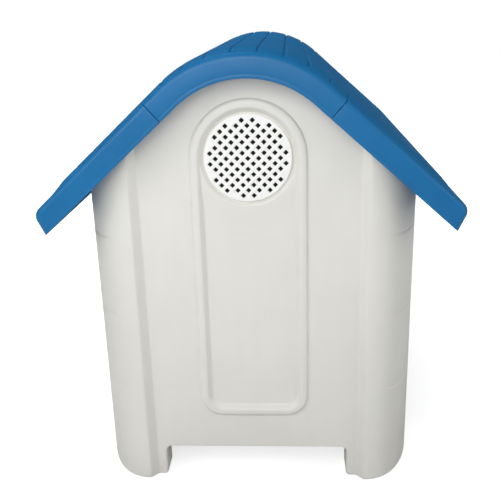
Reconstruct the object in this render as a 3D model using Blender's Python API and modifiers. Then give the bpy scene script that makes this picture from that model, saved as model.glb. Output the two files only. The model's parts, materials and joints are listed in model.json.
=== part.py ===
"""A moulded-plastic pet kennel: four-panel body on corner feet, raised floor tray, lift-off gable roof.

Metres, +Z up. The origin is on the ground under the middle of the kennel. +X and -X are the sides with
the eaves, +Y is the rear with the round vent, -Y is the front with the doorway.
"""

import math

import bmesh
import bpy
from mathutils import Matrix, Vector

OBJECT_NAME = "pet_kennel"
GAP = 0.0003  # clearance left between pieces that touch
WALL = 0.003  # thickness of every moulded skin

# Roof
ROOF_WIDTH = 0.590
ROOF_DEPTH = 0.750
ROOF_SLOPE = math.radians(41.9)
CROWN_Z = 0.658  # top of the rounded ridge at the verge
CROWN_RADIUS = 0.1677
VERGE_DEPTH = 0.033  # height of the band across the gable, square to the slope
BORDER = 0.022  # flat border between the verge and the raised field
FIELD_RISE = 0.005
SEAM_S = 0.1516  # distance down the slope from the ridge to the seam
EAVE_RADIUS = 0.016
EAVE_LEAN = math.radians(25.0)  # lean of the eave's face from vertical
GROOVE_PITCH = 0.0347
GROOVE_WIDTH = 0.006
GROOVE_DEPTH = 0.002
LIP_DEPTH = 0.014  # joining lip below the roof skin
LIP_HALF_LENGTH = 0.320

# Body in plan
HALF_WIDTH = 0.252
RECESS_Y = 0.335  # outer face of the recessed middle of a gable panel
COLUMN_Y = 0.347  # outermost face of its corner columns
COLUMN_X = 0.168
STEP_WIDTH = 0.011
CORNER_Y = 0.185
CORNER_POWER = 2.2  # 2 is an ellipse, lower cuts the corner
SEAM_Y = 0.168  # where a gable panel meets a side wall
SEAM_LIP = 0.013  # inward lip at that seam, measured from the outer face

# Body in elevation
APRON_Z = 0.053
FOOT_X = 0.1425
FOOT_FILLET = 0.011
FOOT_ROUND = 0.006
SKIN_LIFT = 0.0005  # the skin ends this far above the foot plate's underside
FOOT_RETURN = 0.040
LEDGE_Z = 0.0735
LEDGE_WIDTH = 0.020
LIP_START_Z = 0.110
SIDE_TOP_Z = 0.4905
PLANK_ZS = (0.157, 0.279, 0.401)

# Rear panel
LOOP_TOP_Z = 0.514  # middle of the raised loop's round top, and of the vent
LOOP_BOTTOM_Z = 0.1105
LOOP_RADIUS = 0.0825
LOOP_BEAD = 0.019
LOOP_CORNER = 0.034
LOOP_RISE = 0.005
LOOP_RECESS = 0.002
VENT_RADIUS = 0.0612
VENT_BORE = 0.0593
VENT_PITCH = 0.0075
VENT_HOLE = 0.0055
VENT_REACH = 55  # a hole is at i, j where i + j is even and i*i + j*j is under this
VENT_PLATE = 0.0025
SPIGOT_LENGTH = 0.006  # from the grille's seat back through the panel
SPIGOT_WALL = 0.0015
SNAP_HEIGHT = 0.0008
SNAP_LENGTH = 0.0023
SCREEN_DEPTH = 0.004  # stiff rim of the fly screen, along the vent's axis
SCREEN_WEB = 0.0010
SCREEN_RIM = 0.0025

# Front panel
DOOR_RADIUS = 0.125
DOOR_TOP_Z = 0.325  # middle of the doorway's round top
DOOR_SILL_Z = 0.108
DOOR_CORNER = 0.025
DOOR_BEAD = 0.018

# Floor tray
FLOOR_Z = 0.0738
RIM_HEIGHT = 0.023
TRAY_GAP = 0.0006
TRAY_CORNER_CHAMFER = 0.012
RIM_DRAFT = 1.004  # widening of the tray's pocket over twice the rim's height
LEG_X = 0.120
LEG_Y = 0.150
LEG_RADIUS = 0.026
LEG_FOOT_RADIUS = 0.019
RIB_DEPTH = 0.012
RIB_HALF_X = 0.200
RIB_HALF_Y = 0.260
PAD_RADIUS = 0.0082  # raised pad under each floor screw's head
PAD_HEIGHT = 0.0012
DRAIN_Y = 0.090
DRAIN_RECESS = 0.024
DRAIN_BORE = 0.012
DRAIN_BOSS = 0.030
SEAL_RADIUS = 0.0165
SEAL_SECTION = 0.0011

# Catches that hold the roof down
CATCH_Y = 0.110
CATCH_Z = 0.445
CATCH_BOSS = 0.005
CATCH_LENGTH = 0.030
CATCH_TAIL = 0.020
CATCH_WIDTH = 0.012
CATCH_THICKNESS = 0.007
CATCH_HUB = 0.009
CATCH_GRIP = 0.008  # how far the finger grip stands out from the catch
LUG_NEAR = 0.014
LUG_FAR = 0.030
LUG_ROOM = 0.0068  # from the catch's face to the far side of the lug's plate
LUG_FOOT = 0.0035
LUG_TOP_OUTER_Z = 0.5070  # the lug runs up into the sloping roof skin
LUG_TOP_INNER_Z = 0.5097

# Fasteners
CLIP_LENGTH = 0.040
CLIP_WALL = 0.002
CLIP_ARM = 0.011  # how far a roof clip's arms reach up beside the lips
SCREW_HEAD = 0.0062
SCREW_HEAD_HEIGHT = 0.004
SCREW_CHAMFER = 0.0008
SCREW_SHANK = 0.0017
SCREW_PILOT = 0.0020
SCREW_REACH = 0.015  # how far a floor screw goes below the ledge's top
BOSS_RADIUS = 0.006
BOSS_DEPTH = 0.0165
GABLE_SCREW_X = 0.100
GABLE_SCREW_Y = RECESS_Y - 0.0145
SIDE_SCREW_X = 0.2380
SIDE_SCREW_Y = 0.100
CATCH_SCREW_HEAD = 0.008
CATCH_SCREW_HEIGHT = 0.0025
CATCH_SCREW_LENGTH = 0.006

IVORY = ("ivory_plastic", (0.83, 0.82, 0.77), 0.38)
VENT_WHITE = ("vent_plastic", (0.88, 0.88, 0.86), 0.35)
BLUE = ("blue_plastic", (0.04, 0.25, 0.55), 0.36)
LIGHT_GREY = ("light_grey_plastic", (0.62, 0.63, 0.62), 0.55)
MID_GREY = ("mid_grey_plastic", (0.55, 0.56, 0.56), 0.50)
RUBBER = ("black_rubber", (0.03, 0.03, 0.03), 0.75)
SCREEN_BLACK = ("black_mesh", (0.02, 0.02, 0.02), 0.60)


# ---------------------------------------------------------------- scene helpers


def clear_scene():
    for old in list(bpy.data.objects):
        bpy.data.objects.remove(old, do_unlink=True)


def new_collection(name):
    collection = bpy.data.collections.new(name)
    bpy.context.scene.collection.children.link(collection)
    return collection


clear_scene()
PARTS = new_collection(OBJECT_NAME)
CUTTERS = new_collection("cutters")


def plastic(finish):
    name, colour, roughness = finish
    made = bpy.data.materials.get(name)
    if made is None:
        made = bpy.data.materials.new(name)
        made.use_nodes = True
        shader = made.node_tree.nodes["Principled BSDF"]
        shader.inputs["Base Color"].default_value = (*colour, 1.0)
        shader.inputs["Roughness"].default_value = roughness
        shader.inputs["Metallic"].default_value = 0.0
    return made


def place(name, mesh, collection):
    made = bpy.data.objects.new(name, mesh)
    collection.objects.link(made)
    return made


def helper(made):
    """Keeps a shape as a Boolean tool that is not itself a part."""
    made.hide_render = True
    made.display_type = "WIRE"
    return made


def finish_part(made, name, finish):
    """Turns a built shape into the named part: right collection, material and shading."""
    made.name = name
    made.data.name = name
    made.hide_render = False
    made.display_type = "TEXTURED"
    CUTTERS.objects.unlink(made)
    PARTS.objects.link(made)
    made.data.materials.clear()
    made.data.materials.append(plastic(finish))
    made.data.shade_smooth()
    made.data.set_sharp_from_angle(angle=math.radians(30))
    return made


def set_origin(made, point):
    """Moves the object's origin to a point without moving its shape."""
    shift = Vector(point)
    made.data.transform(Matrix.Translation(-shift))
    made.location = shift


# ---------------------------------------------------------------- shape helpers


def prism(name, outlines, low, high, plane="XY"):
    """A flat outline, with any inner outlines as holes, stretched from low to high across its plane."""
    curve = bpy.data.curves.new(name, "CURVE")
    curve.dimensions = "2D"
    curve.fill_mode = "BOTH"
    curve.extrude = (high - low) / 2
    for outline in outlines:
        spline = curve.splines.new("POLY")
        spline.points.add(len(outline) - 1)
        for point, (u, v) in zip(spline.points, outline):
            point.co = (u, v, 0.0, 1.0)
        spline.use_cyclic_u = True
    drawn = place(name, curve, CUTTERS)
    middle = (low + high) / 2
    if plane == "XY":
        drawn.location = (0, 0, middle)
    elif plane == "XZ":
        drawn.rotation_euler = (math.pi / 2, 0, 0)
        drawn.location = (0, middle, 0)
    else:
        drawn.rotation_euler = (math.pi / 2, 0, math.pi / 2)
        drawn.location = (middle, 0, 0)
    bpy.context.view_layer.update()
    graph = bpy.context.evaluated_depsgraph_get()
    mesh = bpy.data.meshes.new_from_object(drawn.evaluated_get(graph))
    mesh.transform(drawn.matrix_world)
    bpy.data.objects.remove(drawn, do_unlink=True)
    bpy.data.curves.remove(curve)
    return solid_object(name, mesh)


def solid_object(name, mesh):
    """Welds a mesh, points its faces outwards and links it as a helper."""
    shape = bmesh.new()
    shape.from_mesh(mesh)
    bmesh.ops.remove_doubles(shape, verts=shape.verts, dist=0.00001)
    bmesh.ops.recalc_face_normals(shape, faces=shape.faces)
    shape.to_mesh(mesh)
    shape.free()
    return helper(place(name, mesh, CUTTERS))


def box(name, low, high):
    shape = bmesh.new()
    bmesh.ops.create_cube(shape, size=1.0)
    size = [b - a for a, b in zip(low, high)]
    middle = [(a + b) / 2 for a, b in zip(low, high)]
    bmesh.ops.scale(shape, vec=size, verts=shape.verts)
    bmesh.ops.translate(shape, vec=middle, verts=shape.verts)
    mesh = bpy.data.meshes.new(name)
    shape.to_mesh(mesh)
    shape.free()
    return helper(place(name, mesh, CUTTERS))


AXIS_TURN = {
    "X": Matrix.Rotation(math.pi / 2, 4, "Y"),
    "Y": Matrix.Rotation(-math.pi / 2, 4, "X"),
    "Z": Matrix.Identity(4),
}


def rod(name, axis, start, length, radius, end_radius=None, sides=24):
    """A round bar or cone from start, along +X, +Y or +Z."""
    shape = bmesh.new()
    bmesh.ops.create_cone(
        shape,
        cap_ends=True,
        segments=sides,
        radius1=radius,
        radius2=radius if end_radius is None else end_radius,
        depth=length,
    )
    bmesh.ops.translate(shape, vec=(0, 0, length / 2), verts=shape.verts)
    bmesh.ops.transform(shape, matrix=AXIS_TURN[axis], verts=shape.verts)
    bmesh.ops.translate(shape, vec=start, verts=shape.verts)
    mesh = bpy.data.meshes.new(name)
    shape.to_mesh(mesh)
    shape.free()
    return helper(place(name, mesh, CUTTERS))


def combine(made, operation, tools, solver="EXACT"):
    for tool in tools:
        step = made.modifiers.new(operation.lower(), "BOOLEAN")
        step.operation = operation
        step.solver = solver
        step.object = tool
    return made


def join(made, *tools, solver="EXACT"):
    return combine(made, "UNION", tools, solver)


def cut(made, *tools, solver="EXACT"):
    return combine(made, "DIFFERENCE", tools, solver)


def arc(centre, radius, start, end, steps):
    """Points along a circular arc; angles in radians, anticlockwise from +X."""
    angles = [start + (end - start) * i / steps for i in range(steps + 1)]
    return [
        (centre[0] + radius * math.cos(a), centre[1] + radius * math.sin(a))
        for a in angles
    ]


def mirrored(half):
    """Closes a half outline, drawn on the +u side from its foot to its head, with its mirror image."""
    return half + [(-u, v) for u, v in reversed(half) if abs(u) > 1e-6]


def arch_outline(radius, top_z, bottom_z, corner):
    """A window outline with a round top and two rounded bottom corners."""
    half = arc((radius - corner, bottom_z + corner), corner, -math.pi / 2, 0, 6)
    half += arc((0, top_z), radius, 0, math.pi / 2, 12)
    return mirrored(half)


# ---------------------------------------------------------------- roof


def roof_point(s, lift):
    """The point s down the slope from the ridge line, lifted square to the verge's outer line."""
    side = 1 if s >= 0 else -1
    tangent_s = CROWN_RADIUS * ROOF_SLOPE
    centre_z = CROWN_Z - CROWN_RADIUS
    angle = min(abs(s) / CROWN_RADIUS, ROOF_SLOPE)
    reach = CROWN_RADIUS + lift
    x = reach * math.sin(angle)
    z = centre_z + reach * math.cos(angle)
    beyond = max(abs(s) - tangent_s, 0.0)
    return side * (x + beyond * math.cos(ROOF_SLOPE)), z - beyond * math.sin(ROOF_SLOPE)


def roof_run(start, end, lift, steps=1):
    """Points along the roof line between two distances from the ridge."""
    return [roof_point(start + (end - start) * i / steps, lift) for i in range(steps + 1)]


def eave_centre():
    """Middle of the eave's rounding: it touches both the slope and the roof's full width."""
    x = ROOF_WIDTH / 2 - EAVE_RADIUS
    tangent_x, tangent_z = roof_point(CROWN_RADIUS * ROOF_SLOPE, -EAVE_RADIUS)
    return x, tangent_z - (x - tangent_x) * math.tan(ROOF_SLOPE)


def eave_end_s():
    """Distance down the slope at which the eave's rounding starts."""
    tangent_x, _ = roof_point(CROWN_RADIUS * ROOF_SLOPE, -EAVE_RADIUS)
    return CROWN_RADIUS * ROOF_SLOPE + (eave_centre()[0] - tangent_x) / math.cos(ROOF_SLOPE)


def eave_curve(inset, below):
    """Rounded eave and its leaning face, down to a distance below the verge's outer line."""
    points = arc(eave_centre(), EAVE_RADIUS - inset, math.pi / 2 - ROOF_SLOPE, -EAVE_LEAN, 8)
    face_x, face_z = points[-1]
    normal = Vector((math.sin(ROOF_SLOPE), math.cos(ROOF_SLOPE)))
    down = Vector((-math.sin(EAVE_LEAN), -math.cos(EAVE_LEAN)))
    start = Vector((face_x, face_z))
    level = (start - Vector(roof_point(SEAM_S, 0))).dot(normal)
    travel = (-below - level) / down.dot(normal)
    points.append(tuple(start + down * travel))
    return points


def roof_grooves(name, numbers):
    """V cutters along the ridge, one for each groove number counted from the ridge."""
    cutters = []
    half = GROOVE_WIDTH / 2
    top = FIELD_RISE + 0.0005
    reach = ROOF_DEPTH / 2 - BORDER + 0.010
    for number in numbers:
        s = (abs(number) - 0.5) * GROOVE_PITCH * (1 if number > 0 else -1)
        outline = [roof_point(s - half, top), roof_point(s + half, top)]
        outline.append(roof_point(s, FIELD_RISE - GROOVE_DEPTH))
        cutters.append(prism(f"{name}_groove", [outline], -reach, reach, "XZ"))
    return cutters


def roof_shell(name, outer, cavity, field, field_cavity):
    """A roof piece: outer solid, hollowed from below, with the raised field between its borders."""
    half = ROOF_DEPTH / 2
    field_half = half - BORDER
    made = prism(name, [outer], -half, half, "XZ")
    join(made, prism(f"{name}_field", [field], -field_half, field_half, "XZ"))
    cut(made, prism(f"{name}_cavity", [cavity], WALL - half, half - WALL, "XZ"))
    room = prism(f"{name}_field_cavity", [field_cavity], WALL - field_half, field_half - WALL, "XZ")
    cut(made, room)
    return made


def joining_lip(name, start, end):
    """Lip hanging below the skin along a seam, between two distances from the ridge."""
    outline = [
        roof_point(start, FIELD_RISE - WALL + 0.0005),
        roof_point(end, FIELD_RISE - WALL + 0.0005),
        roof_point(end, -WALL - LIP_DEPTH),
        roof_point(start, -WALL - LIP_DEPTH),
    ]
    return prism(name, [outline], -LIP_HALF_LENGTH, LIP_HALF_LENGTH, "XZ")


def build_roof_ridge():
    edge = SEAM_S - GAP
    inner = edge - 0.0005
    skin = -WALL
    under = FIELD_RISE - WALL
    outer = roof_run(-edge, edge, 0, 28) + roof_run(edge, -edge, -VERGE_DEPTH, 28)
    cavity = roof_run(-SEAM_S - 0.01, SEAM_S + 0.01, skin, 28)
    cavity += roof_run(SEAM_S + 0.01, -SEAM_S - 0.01, -VERGE_DEPTH - 0.01, 28)
    field = roof_run(-inner, inner, FIELD_RISE, 28) + roof_run(inner, -inner, -0.001, 28)
    room = roof_run(-SEAM_S - 0.01, SEAM_S + 0.01, under, 28)
    room += roof_run(SEAM_S + 0.01, -SEAM_S - 0.01, skin - 0.001, 28)
    made = roof_shell("roof_ridge", outer, cavity, field, room)
    for side in (-1, 1):
        lip = joining_lip("ridge_lip", side * (edge - 0.0001 - WALL), side * (edge - 0.0001))
        join(made, lip, solver="MANIFOLD")
    cut(made, *roof_grooves("roof_ridge", (-4, -3, -2, -1, 1, 2, 3, 4)), solver="MANIFOLD")
    return finish_part(made, "roof_ridge", BLUE)


def catch_lug(side, end):
    """Hook-shaped lug under the roof that a turned catch holds down."""
    inner_face = HALF_WIDTH - WALL
    plate_x = inner_face - CATCH_THICKNESS - LUG_ROOM
    foot_top = CATCH_Z - CATCH_WIDTH / 2 - GAP
    foot_low = foot_top - LUG_FOOT
    outline = [
        (side * plate_x, foot_low),
        (side * (inner_face - LUG_FOOT), foot_low),
        (side * (inner_face - LUG_FOOT), foot_top),
        (side * (plate_x + WALL), foot_top),
        (side * (plate_x + WALL), LUG_TOP_OUTER_Z),
        (side * plate_x, LUG_TOP_INNER_Z),
    ]
    ends = sorted((end * (CATCH_Y - LUG_NEAR), end * (CATCH_Y - LUG_FAR)))
    return prism("catch_lug", [outline], ends[0], ends[1], "XZ")


def flip(outline, side):
    return [(side * u, v) for u, v in outline]


def build_roof_side(side, name):
    edge = SEAM_S + GAP
    field_edge = edge + 0.0005
    field_end = eave_end_s()
    under = FIELD_RISE - WALL
    outer = [roof_point(edge, 0)] + eave_curve(0, VERGE_DEPTH)
    outer.append(roof_point(edge, -VERGE_DEPTH))
    cavity = [roof_point(SEAM_S - 0.01, -WALL)] + eave_curve(WALL, VERGE_DEPTH + 0.01)
    cavity.append(roof_point(SEAM_S - 0.01, -VERGE_DEPTH - 0.01))
    field = [
        roof_point(field_edge, FIELD_RISE),
        roof_point(field_end - 0.006, FIELD_RISE),
        roof_point(field_end, -0.0005),
        roof_point(field_edge, -0.001),
    ]
    room = [
        roof_point(SEAM_S - 0.01, under),
        roof_point(field_end - 0.008, under),
        roof_point(field_end - 0.005, -WALL - 0.001),
        roof_point(SEAM_S - 0.01, -WALL - 0.001),
    ]
    outlines = [flip(outline, side) for outline in (outer, cavity, field, room)]
    made = roof_shell(name, *outlines)
    join(made, joining_lip("side_lip", side * (edge + 0.0001), side * (edge + 0.0001 + WALL)))
    for end in (-1, 1):
        join(made, catch_lug(side, end))
    cut(made, *roof_grooves(name, [side * number for number in range(6, 11)]))
    return finish_part(made, name, BLUE)


def build_roof_clip(side, y, name):
    """U clip pushed up over the two lips of a roof seam."""
    reach = WALL + 2 * GAP + 0.0002
    tip = -WALL - LIP_DEPTH - GAP
    outline = [
        roof_point(side * (SEAM_S - reach - CLIP_WALL), tip + CLIP_ARM),
        roof_point(side * (SEAM_S - reach - CLIP_WALL), tip - CLIP_WALL),
        roof_point(side * (SEAM_S + reach + CLIP_WALL), tip - CLIP_WALL),
        roof_point(side * (SEAM_S + reach + CLIP_WALL), tip + CLIP_ARM),
        roof_point(side * (SEAM_S + reach), tip + CLIP_ARM),
        roof_point(side * (SEAM_S + reach), tip),
        roof_point(side * (SEAM_S - reach), tip),
        roof_point(side * (SEAM_S - reach), tip + CLIP_ARM),
    ]
    made = prism(name, [outline], y - CLIP_LENGTH / 2, y + CLIP_LENGTH / 2, "XZ")
    return finish_part(made, name, MID_GREY)


# ---------------------------------------------------------------- body panels


def corner_points(inset, steps=10):
    """Rounded corner column in plan, from its outermost face round to the side."""
    points = []
    for i in range(steps + 1):
        angle = math.pi / 2 * (1 - i / steps)
        across = max(math.cos(angle), 0.0) ** (2 / CORNER_POWER)
        along = max(math.sin(angle), 0.0) ** (2 / CORNER_POWER)
        x = COLUMN_X + (HALF_WIDTH - COLUMN_X - inset) * across
        y = CORNER_Y + (COLUMN_Y - CORNER_Y - inset) * along
        points.append((x, y))
    return points


def panel_half(inset, end_y):
    """Half of a gable panel's face in plan, from the step at its column to the end of its side flange."""
    half = [(COLUMN_X - STEP_WIDTH - inset * 0.4, RECESS_Y - inset)]
    half += corner_points(inset)
    half.append((HALF_WIDTH - inset, end_y))
    return half


def panel_plan():
    """Gable panel in plan: a skin with columns and side flanges, and a lip at each seam."""
    lip_x = HALF_WIDTH - SEAM_LIP
    outer = panel_half(0, SEAM_Y) + [(lip_x, SEAM_Y), (lip_x, SEAM_Y + WALL)]
    inner = panel_half(WALL, SEAM_Y + WALL)
    return mirrored(outer + list(reversed(inner)))


def foot_line(inset):
    """Inner edge of a foot and the fillet up to the apron, seen square on."""
    round_centre = (FOOT_X + FOOT_ROUND, FOOT_ROUND + SKIN_LIFT)
    fillet_centre = (FOOT_X - FOOT_FILLET, APRON_Z - FOOT_FILLET)
    line = arc(round_centre, FOOT_ROUND - inset, -math.pi / 2, -math.pi, 3)
    return line + arc(fillet_centre, FOOT_FILLET + inset, 0, math.pi / 2, 5)


def return_line(inset):
    """The foot line with short runs at both ends, for the wall that closes the foot's inner side."""
    low = [(FOOT_X + 0.012, SKIN_LIFT + inset)]
    return low + foot_line(inset) + [(FOOT_X - 0.020, APRON_Z + inset)]


def gable_view():
    """Gable panel seen square on: feet, apron and the top that carries the roof."""
    reach = 0.40
    bottom = mirrored([(0.30, SKIN_LIFT)] + foot_line(0))
    return bottom + roof_run(-reach, reach, FIELD_RISE - WALL - GAP, 56)


def band_plan(near, far, start_x, end_y, side):
    """Plan of a strip that follows the panel's inside between two insets."""
    outer = [(start_x, RECESS_Y - near)] + panel_half(near, end_y)
    inner = [(start_x, RECESS_Y - far)] + [p for p in panel_half(far, end_y) if p[0] > start_x]
    return flip(outer + list(reversed(inner)), side)


def foot_pieces(side):
    """Bottom plate, inner return wall and end wall that close a corner foot."""
    sole = band_plan(0.001, FOOT_RETURN, FOOT_X + FOOT_ROUND, SEAM_Y + 0.001, side)
    plate = prism("foot_plate", [sole], 0, WALL)
    strip = return_line(GAP) + list(reversed(return_line(WALL)))
    wall_start = RECESS_Y - FOOT_RETURN + 0.0005
    wall = prism("foot_return", [flip(strip, side)], wall_start, RECESS_Y - 0.001, "XZ")
    ends = sorted((side * (HALF_WIDTH - FOOT_RETURN + 0.0005), side * (HALF_WIDTH - 0.001)))
    low = (ends[0], SEAM_Y + GAP, 0.001)
    end = box("foot_end", low, (ends[1], SEAM_Y + WALL - GAP, LEDGE_Z - 0.001))
    return plate, wall, end


def screw_boss(x, y):
    return rod("screw_boss", "Z", (x, y, LEDGE_Z - BOSS_DEPTH), BOSS_DEPTH - 0.0005, BOSS_RADIUS, sides=16)


def screw_pilot(x, y):
    return rod("screw_pilot", "Z", (x, y, LEDGE_Z - 0.02), 0.03, SCREW_PILOT, sides=12)


def build_gable_skin(name):
    """What the front and rear panels share: skin, columns, feet, ledge and screw bosses."""
    made = prism(name, [panel_plan()], -0.001, 0.700)
    view = prism(f"{name}_view", [gable_view()], 0.100, 0.400, "XZ")
    combine(made, "INTERSECT", [view])
    for side in (-1, 1):
        near, far = sorted((side * (HALF_WIDTH - 0.020), side * (HALF_WIDTH - WALL - 0.0001)))
        low = (near, SEAM_Y - 0.005, -0.010)
        high = (far, SEAM_Y + 0.010, LIP_START_Z)
        cut(made, box(f"{name}_lip_cut", low, high))
    ledge_outer = panel_half(0.002, SEAM_Y + 0.001)
    ledge_inner = panel_half(WALL + LEDGE_WIDTH, SEAM_Y + 0.001)
    ledge = mirrored(ledge_outer + list(reversed(ledge_inner)))
    join(made, prism(f"{name}_ledge", [ledge], LEDGE_Z - WALL, LEDGE_Z))
    for side in (-1, 1):
        join(made, *foot_pieces(side))
    for x in (-GABLE_SCREW_X, GABLE_SCREW_X):
        join(made, screw_boss(x, GABLE_SCREW_Y))
        cut(made, screw_pilot(x, GABLE_SCREW_Y))
    return made


def build_rear_panel():
    made = build_gable_skin("rear_panel")
    outer = arch_outline(LOOP_RADIUS, LOOP_TOP_Z, LOOP_BOTTOM_Z, LOOP_CORNER)
    inner_low = LOOP_BOTTOM_Z + LOOP_BEAD
    inner = arch_outline(LOOP_RADIUS - LOOP_BEAD, LOOP_TOP_Z, inner_low, LOOP_CORNER - LOOP_BEAD)
    panel_face = RECESS_Y - LOOP_RECESS
    backing = arch_outline(LOOP_RADIUS - 0.001, LOOP_TOP_Z, LOOP_BOTTOM_Z + 0.001, LOOP_CORNER - 0.001)
    join(made, prism("loop_backing", [backing], panel_face - WALL, RECESS_Y - 0.0005, "XZ"))
    bead = prism("loop_bead", [outer, inner], RECESS_Y - 0.001, RECESS_Y + LOOP_RISE, "XZ")
    soften(bead, 0.003)
    join(made, bead)
    recess_radius = LOOP_RADIUS - LOOP_BEAD + 0.0005
    recess_corner = LOOP_CORNER - LOOP_BEAD + 0.0005
    recess = arch_outline(recess_radius, LOOP_TOP_Z, inner_low - 0.0005, recess_corner)
    cut(made, prism("loop_recess", [recess], panel_face, RECESS_Y + 0.010, "XZ"))
    start = (0, panel_face - 0.010, LOOP_TOP_Z)
    cut(made, rod("vent_bore", "Y", start, 0.020, VENT_BORE, sides=48))
    return finish_part(made, "rear_panel", IVORY)


def soften(made, width):
    """Rounds the sharp edges of a prism."""
    bevel = made.modifiers.new("soften", "BEVEL")
    bevel.width = width
    bevel.segments = 2
    bevel.limit_method = "ANGLE"
    bevel.angle_limit = math.radians(60)
    return made


def build_front_panel():
    """Built facing +Y like the rear panel, then turned to the front on its own empty."""
    before = set(bpy.data.objects)
    made = build_gable_skin("front_panel")
    opening = arch_outline(DOOR_RADIUS, DOOR_TOP_Z, DOOR_SILL_Z, DOOR_CORNER)
    rim = arch_outline(DOOR_RADIUS + DOOR_BEAD, DOOR_TOP_Z, DOOR_SILL_Z - DOOR_BEAD, DOOR_CORNER + DOOR_BEAD)
    bead = prism("door_bead", [rim], RECESS_Y - 0.001, RECESS_Y + LOOP_RISE, "XZ")
    soften(bead, 0.003)
    join(made, bead)
    cut(made, prism("door_opening", [opening], RECESS_Y - 0.020, RECESS_Y + 0.020, "XZ"))
    finish_part(made, "front_panel", IVORY)
    front = bpy.data.objects.new("front_frame", None)
    PARTS.objects.link(front)
    for piece in set(bpy.data.objects) - before - {front}:
        piece.parent = front
    front.rotation_euler = (0, 0, math.pi)
    return made


def vent_rod(name, start, length, radius):
    """Round bar on the vent's axis, running towards the rear."""
    return rod(name, "Y", (0, start, LOOP_TOP_Z), length, radius, sides=48)


def build_vent_grille():
    seat = RECESS_Y - LOOP_RECESS + GAP
    back = seat - SPIGOT_LENGTH
    made = vent_rod("vent_grille", seat, VENT_PLATE, VENT_RADIUS)
    join(made, vent_rod("vent_spigot", back, SPIGOT_LENGTH + 0.001, VENT_BORE - GAP))
    join(made, vent_rod("vent_snap", back, SNAP_LENGTH, VENT_BORE + SNAP_HEIGHT))
    hollow = VENT_BORE - GAP - SPIGOT_WALL
    cut(made, vent_rod("vent_hollow", back - 0.001, SPIGOT_LENGTH + 0.001, hollow))
    cut(made, vent_holes(seat + VENT_PLATE / 2))
    return finish_part(made, "rear_vent_grille", VENT_WHITE)


def build_vent_screen():
    """Fly screen pushed into the grille's spigot: a fine black mesh, solid here, in a stiff rim."""
    front = RECESS_Y - LOOP_RECESS
    radius = VENT_BORE - SPIGOT_WALL - 2 * GAP
    made = vent_rod("vent_screen", front - SCREEN_DEPTH, SCREEN_DEPTH, radius)
    room = SCREEN_DEPTH - SCREEN_WEB
    cut(made, vent_rod("screen_room", front - SCREEN_DEPTH - room, 2 * room, radius - SCREEN_RIM))
    return finish_part(made, "rear_vent_screen", SCREEN_BLACK)


def vent_holes(y):
    """Square holes standing on their corners, on every second point of a square lattice."""
    shape = bmesh.new()
    turn = Matrix.Rotation(math.pi / 4, 4, "Y")
    span = math.isqrt(VENT_REACH)
    for i in range(-span, span + 1):
        for j in range(-span, span + 1):
            if (i + j) % 2 or i * i + j * j >= VENT_REACH:
                continue
            spot = Matrix.Translation((i * VENT_PITCH, y, LOOP_TOP_Z + j * VENT_PITCH))
            size = Matrix.Diagonal((VENT_HOLE, 0.020, VENT_HOLE, 1.0))
            bmesh.ops.create_cube(shape, size=1.0, matrix=spot @ turn @ size)
    mesh = bpy.data.meshes.new("vent_holes")
    shape.to_mesh(mesh)
    shape.free()
    return helper(place("vent_holes", mesh, CUTTERS))


def build_side_wall(side, name):
    """Flat wall with plank grooves, joining lips, a ledge for the tray and two catch bosses."""
    end = SEAM_Y - GAP
    face = HALF_WIDTH
    back = HALF_WIDTH - WALL
    lip_x = HALF_WIDTH - SEAM_LIP
    half = [(face, 0), (face, end), (lip_x, end), (lip_x, end - WALL), (back, end - WALL), (back, 0)]
    plan = half[1:-1] + [(x, -y) for x, y in reversed(half[1:-1])]
    made = prism(name, [flip(plan, side)], APRON_Z, SIDE_TOP_Z)
    inner, outer = sorted((side * (lip_x - 0.005), side * (back - 0.0001)))
    for y in (-end, end):
        cut(made, box(f"{name}_lip_cut", (inner, y - 0.010, 0), (outer, y + 0.010, LIP_START_Z)))
    for z in PLANK_ZS:
        groove = [(side * (face + 0.0005), z - 0.003), (side * (face + 0.0005), z + 0.003)]
        groove.append((side * (face - 0.0012), z))
        cut(made, prism(f"{name}_plank", [groove], -end - 0.01, end + 0.01, "XZ"))
    shelf_half = SEAM_Y - 0.020
    shelf_in, shelf_out = sorted((side * (back - LEDGE_WIDTH), side * (back + 0.001)))
    shelf_low = (shelf_in, -shelf_half, LEDGE_Z - WALL)
    join(made, box(f"{name}_ledge", shelf_low, (shelf_out, shelf_half, LEDGE_Z)))
    for y in (-SIDE_SCREW_Y, SIDE_SCREW_Y):
        join(made, screw_boss(side * SIDE_SCREW_X, y))
        cut(made, screw_pilot(side * SIDE_SCREW_X, y))
    boss_tip = back - CATCH_THICKNESS - 0.0005
    boss_length = back + 0.0005 - boss_tip
    for y in (-CATCH_Y, CATCH_Y):
        start = min(side * boss_tip, side * (back + 0.0005))
        join(made, rod("catch_boss", "X", (start, y, CATCH_Z), boss_length, CATCH_BOSS, sides=20))
        start = min(side * (boss_tip - 0.001), side * (boss_tip - 0.001 + CATCH_THICKNESS))
        cut(made, rod("catch_pilot", "X", (start, y, CATCH_Z), CATCH_THICKNESS, SCREW_PILOT, sides=12))
    return finish_part(made, name, IVORY)


def build_wall_clip(side, end, z, name):
    """U clip pushed over the two lips where a side wall meets a gable panel."""
    near = SEAM_Y - 2 * GAP - WALL
    far = SEAM_Y + WALL + GAP
    tip = HALF_WIDTH - SEAM_LIP - GAP
    mouth = HALF_WIDTH - WALL - 0.0015
    outline = [
        (mouth, near - CLIP_WALL),
        (tip - CLIP_WALL, near - CLIP_WALL),
        (tip - CLIP_WALL, far + CLIP_WALL),
        (mouth, far + CLIP_WALL),
        (mouth, far),
        (tip, far),
        (tip, near),
        (mouth, near),
    ]
    placed = [(side * x, end * y) for x, y in outline]
    made = prism(name, [placed], z - CLIP_LENGTH / 2, z + CLIP_LENGTH / 2)
    return finish_part(made, name, MID_GREY)


# ---------------------------------------------------------------- floor


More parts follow.
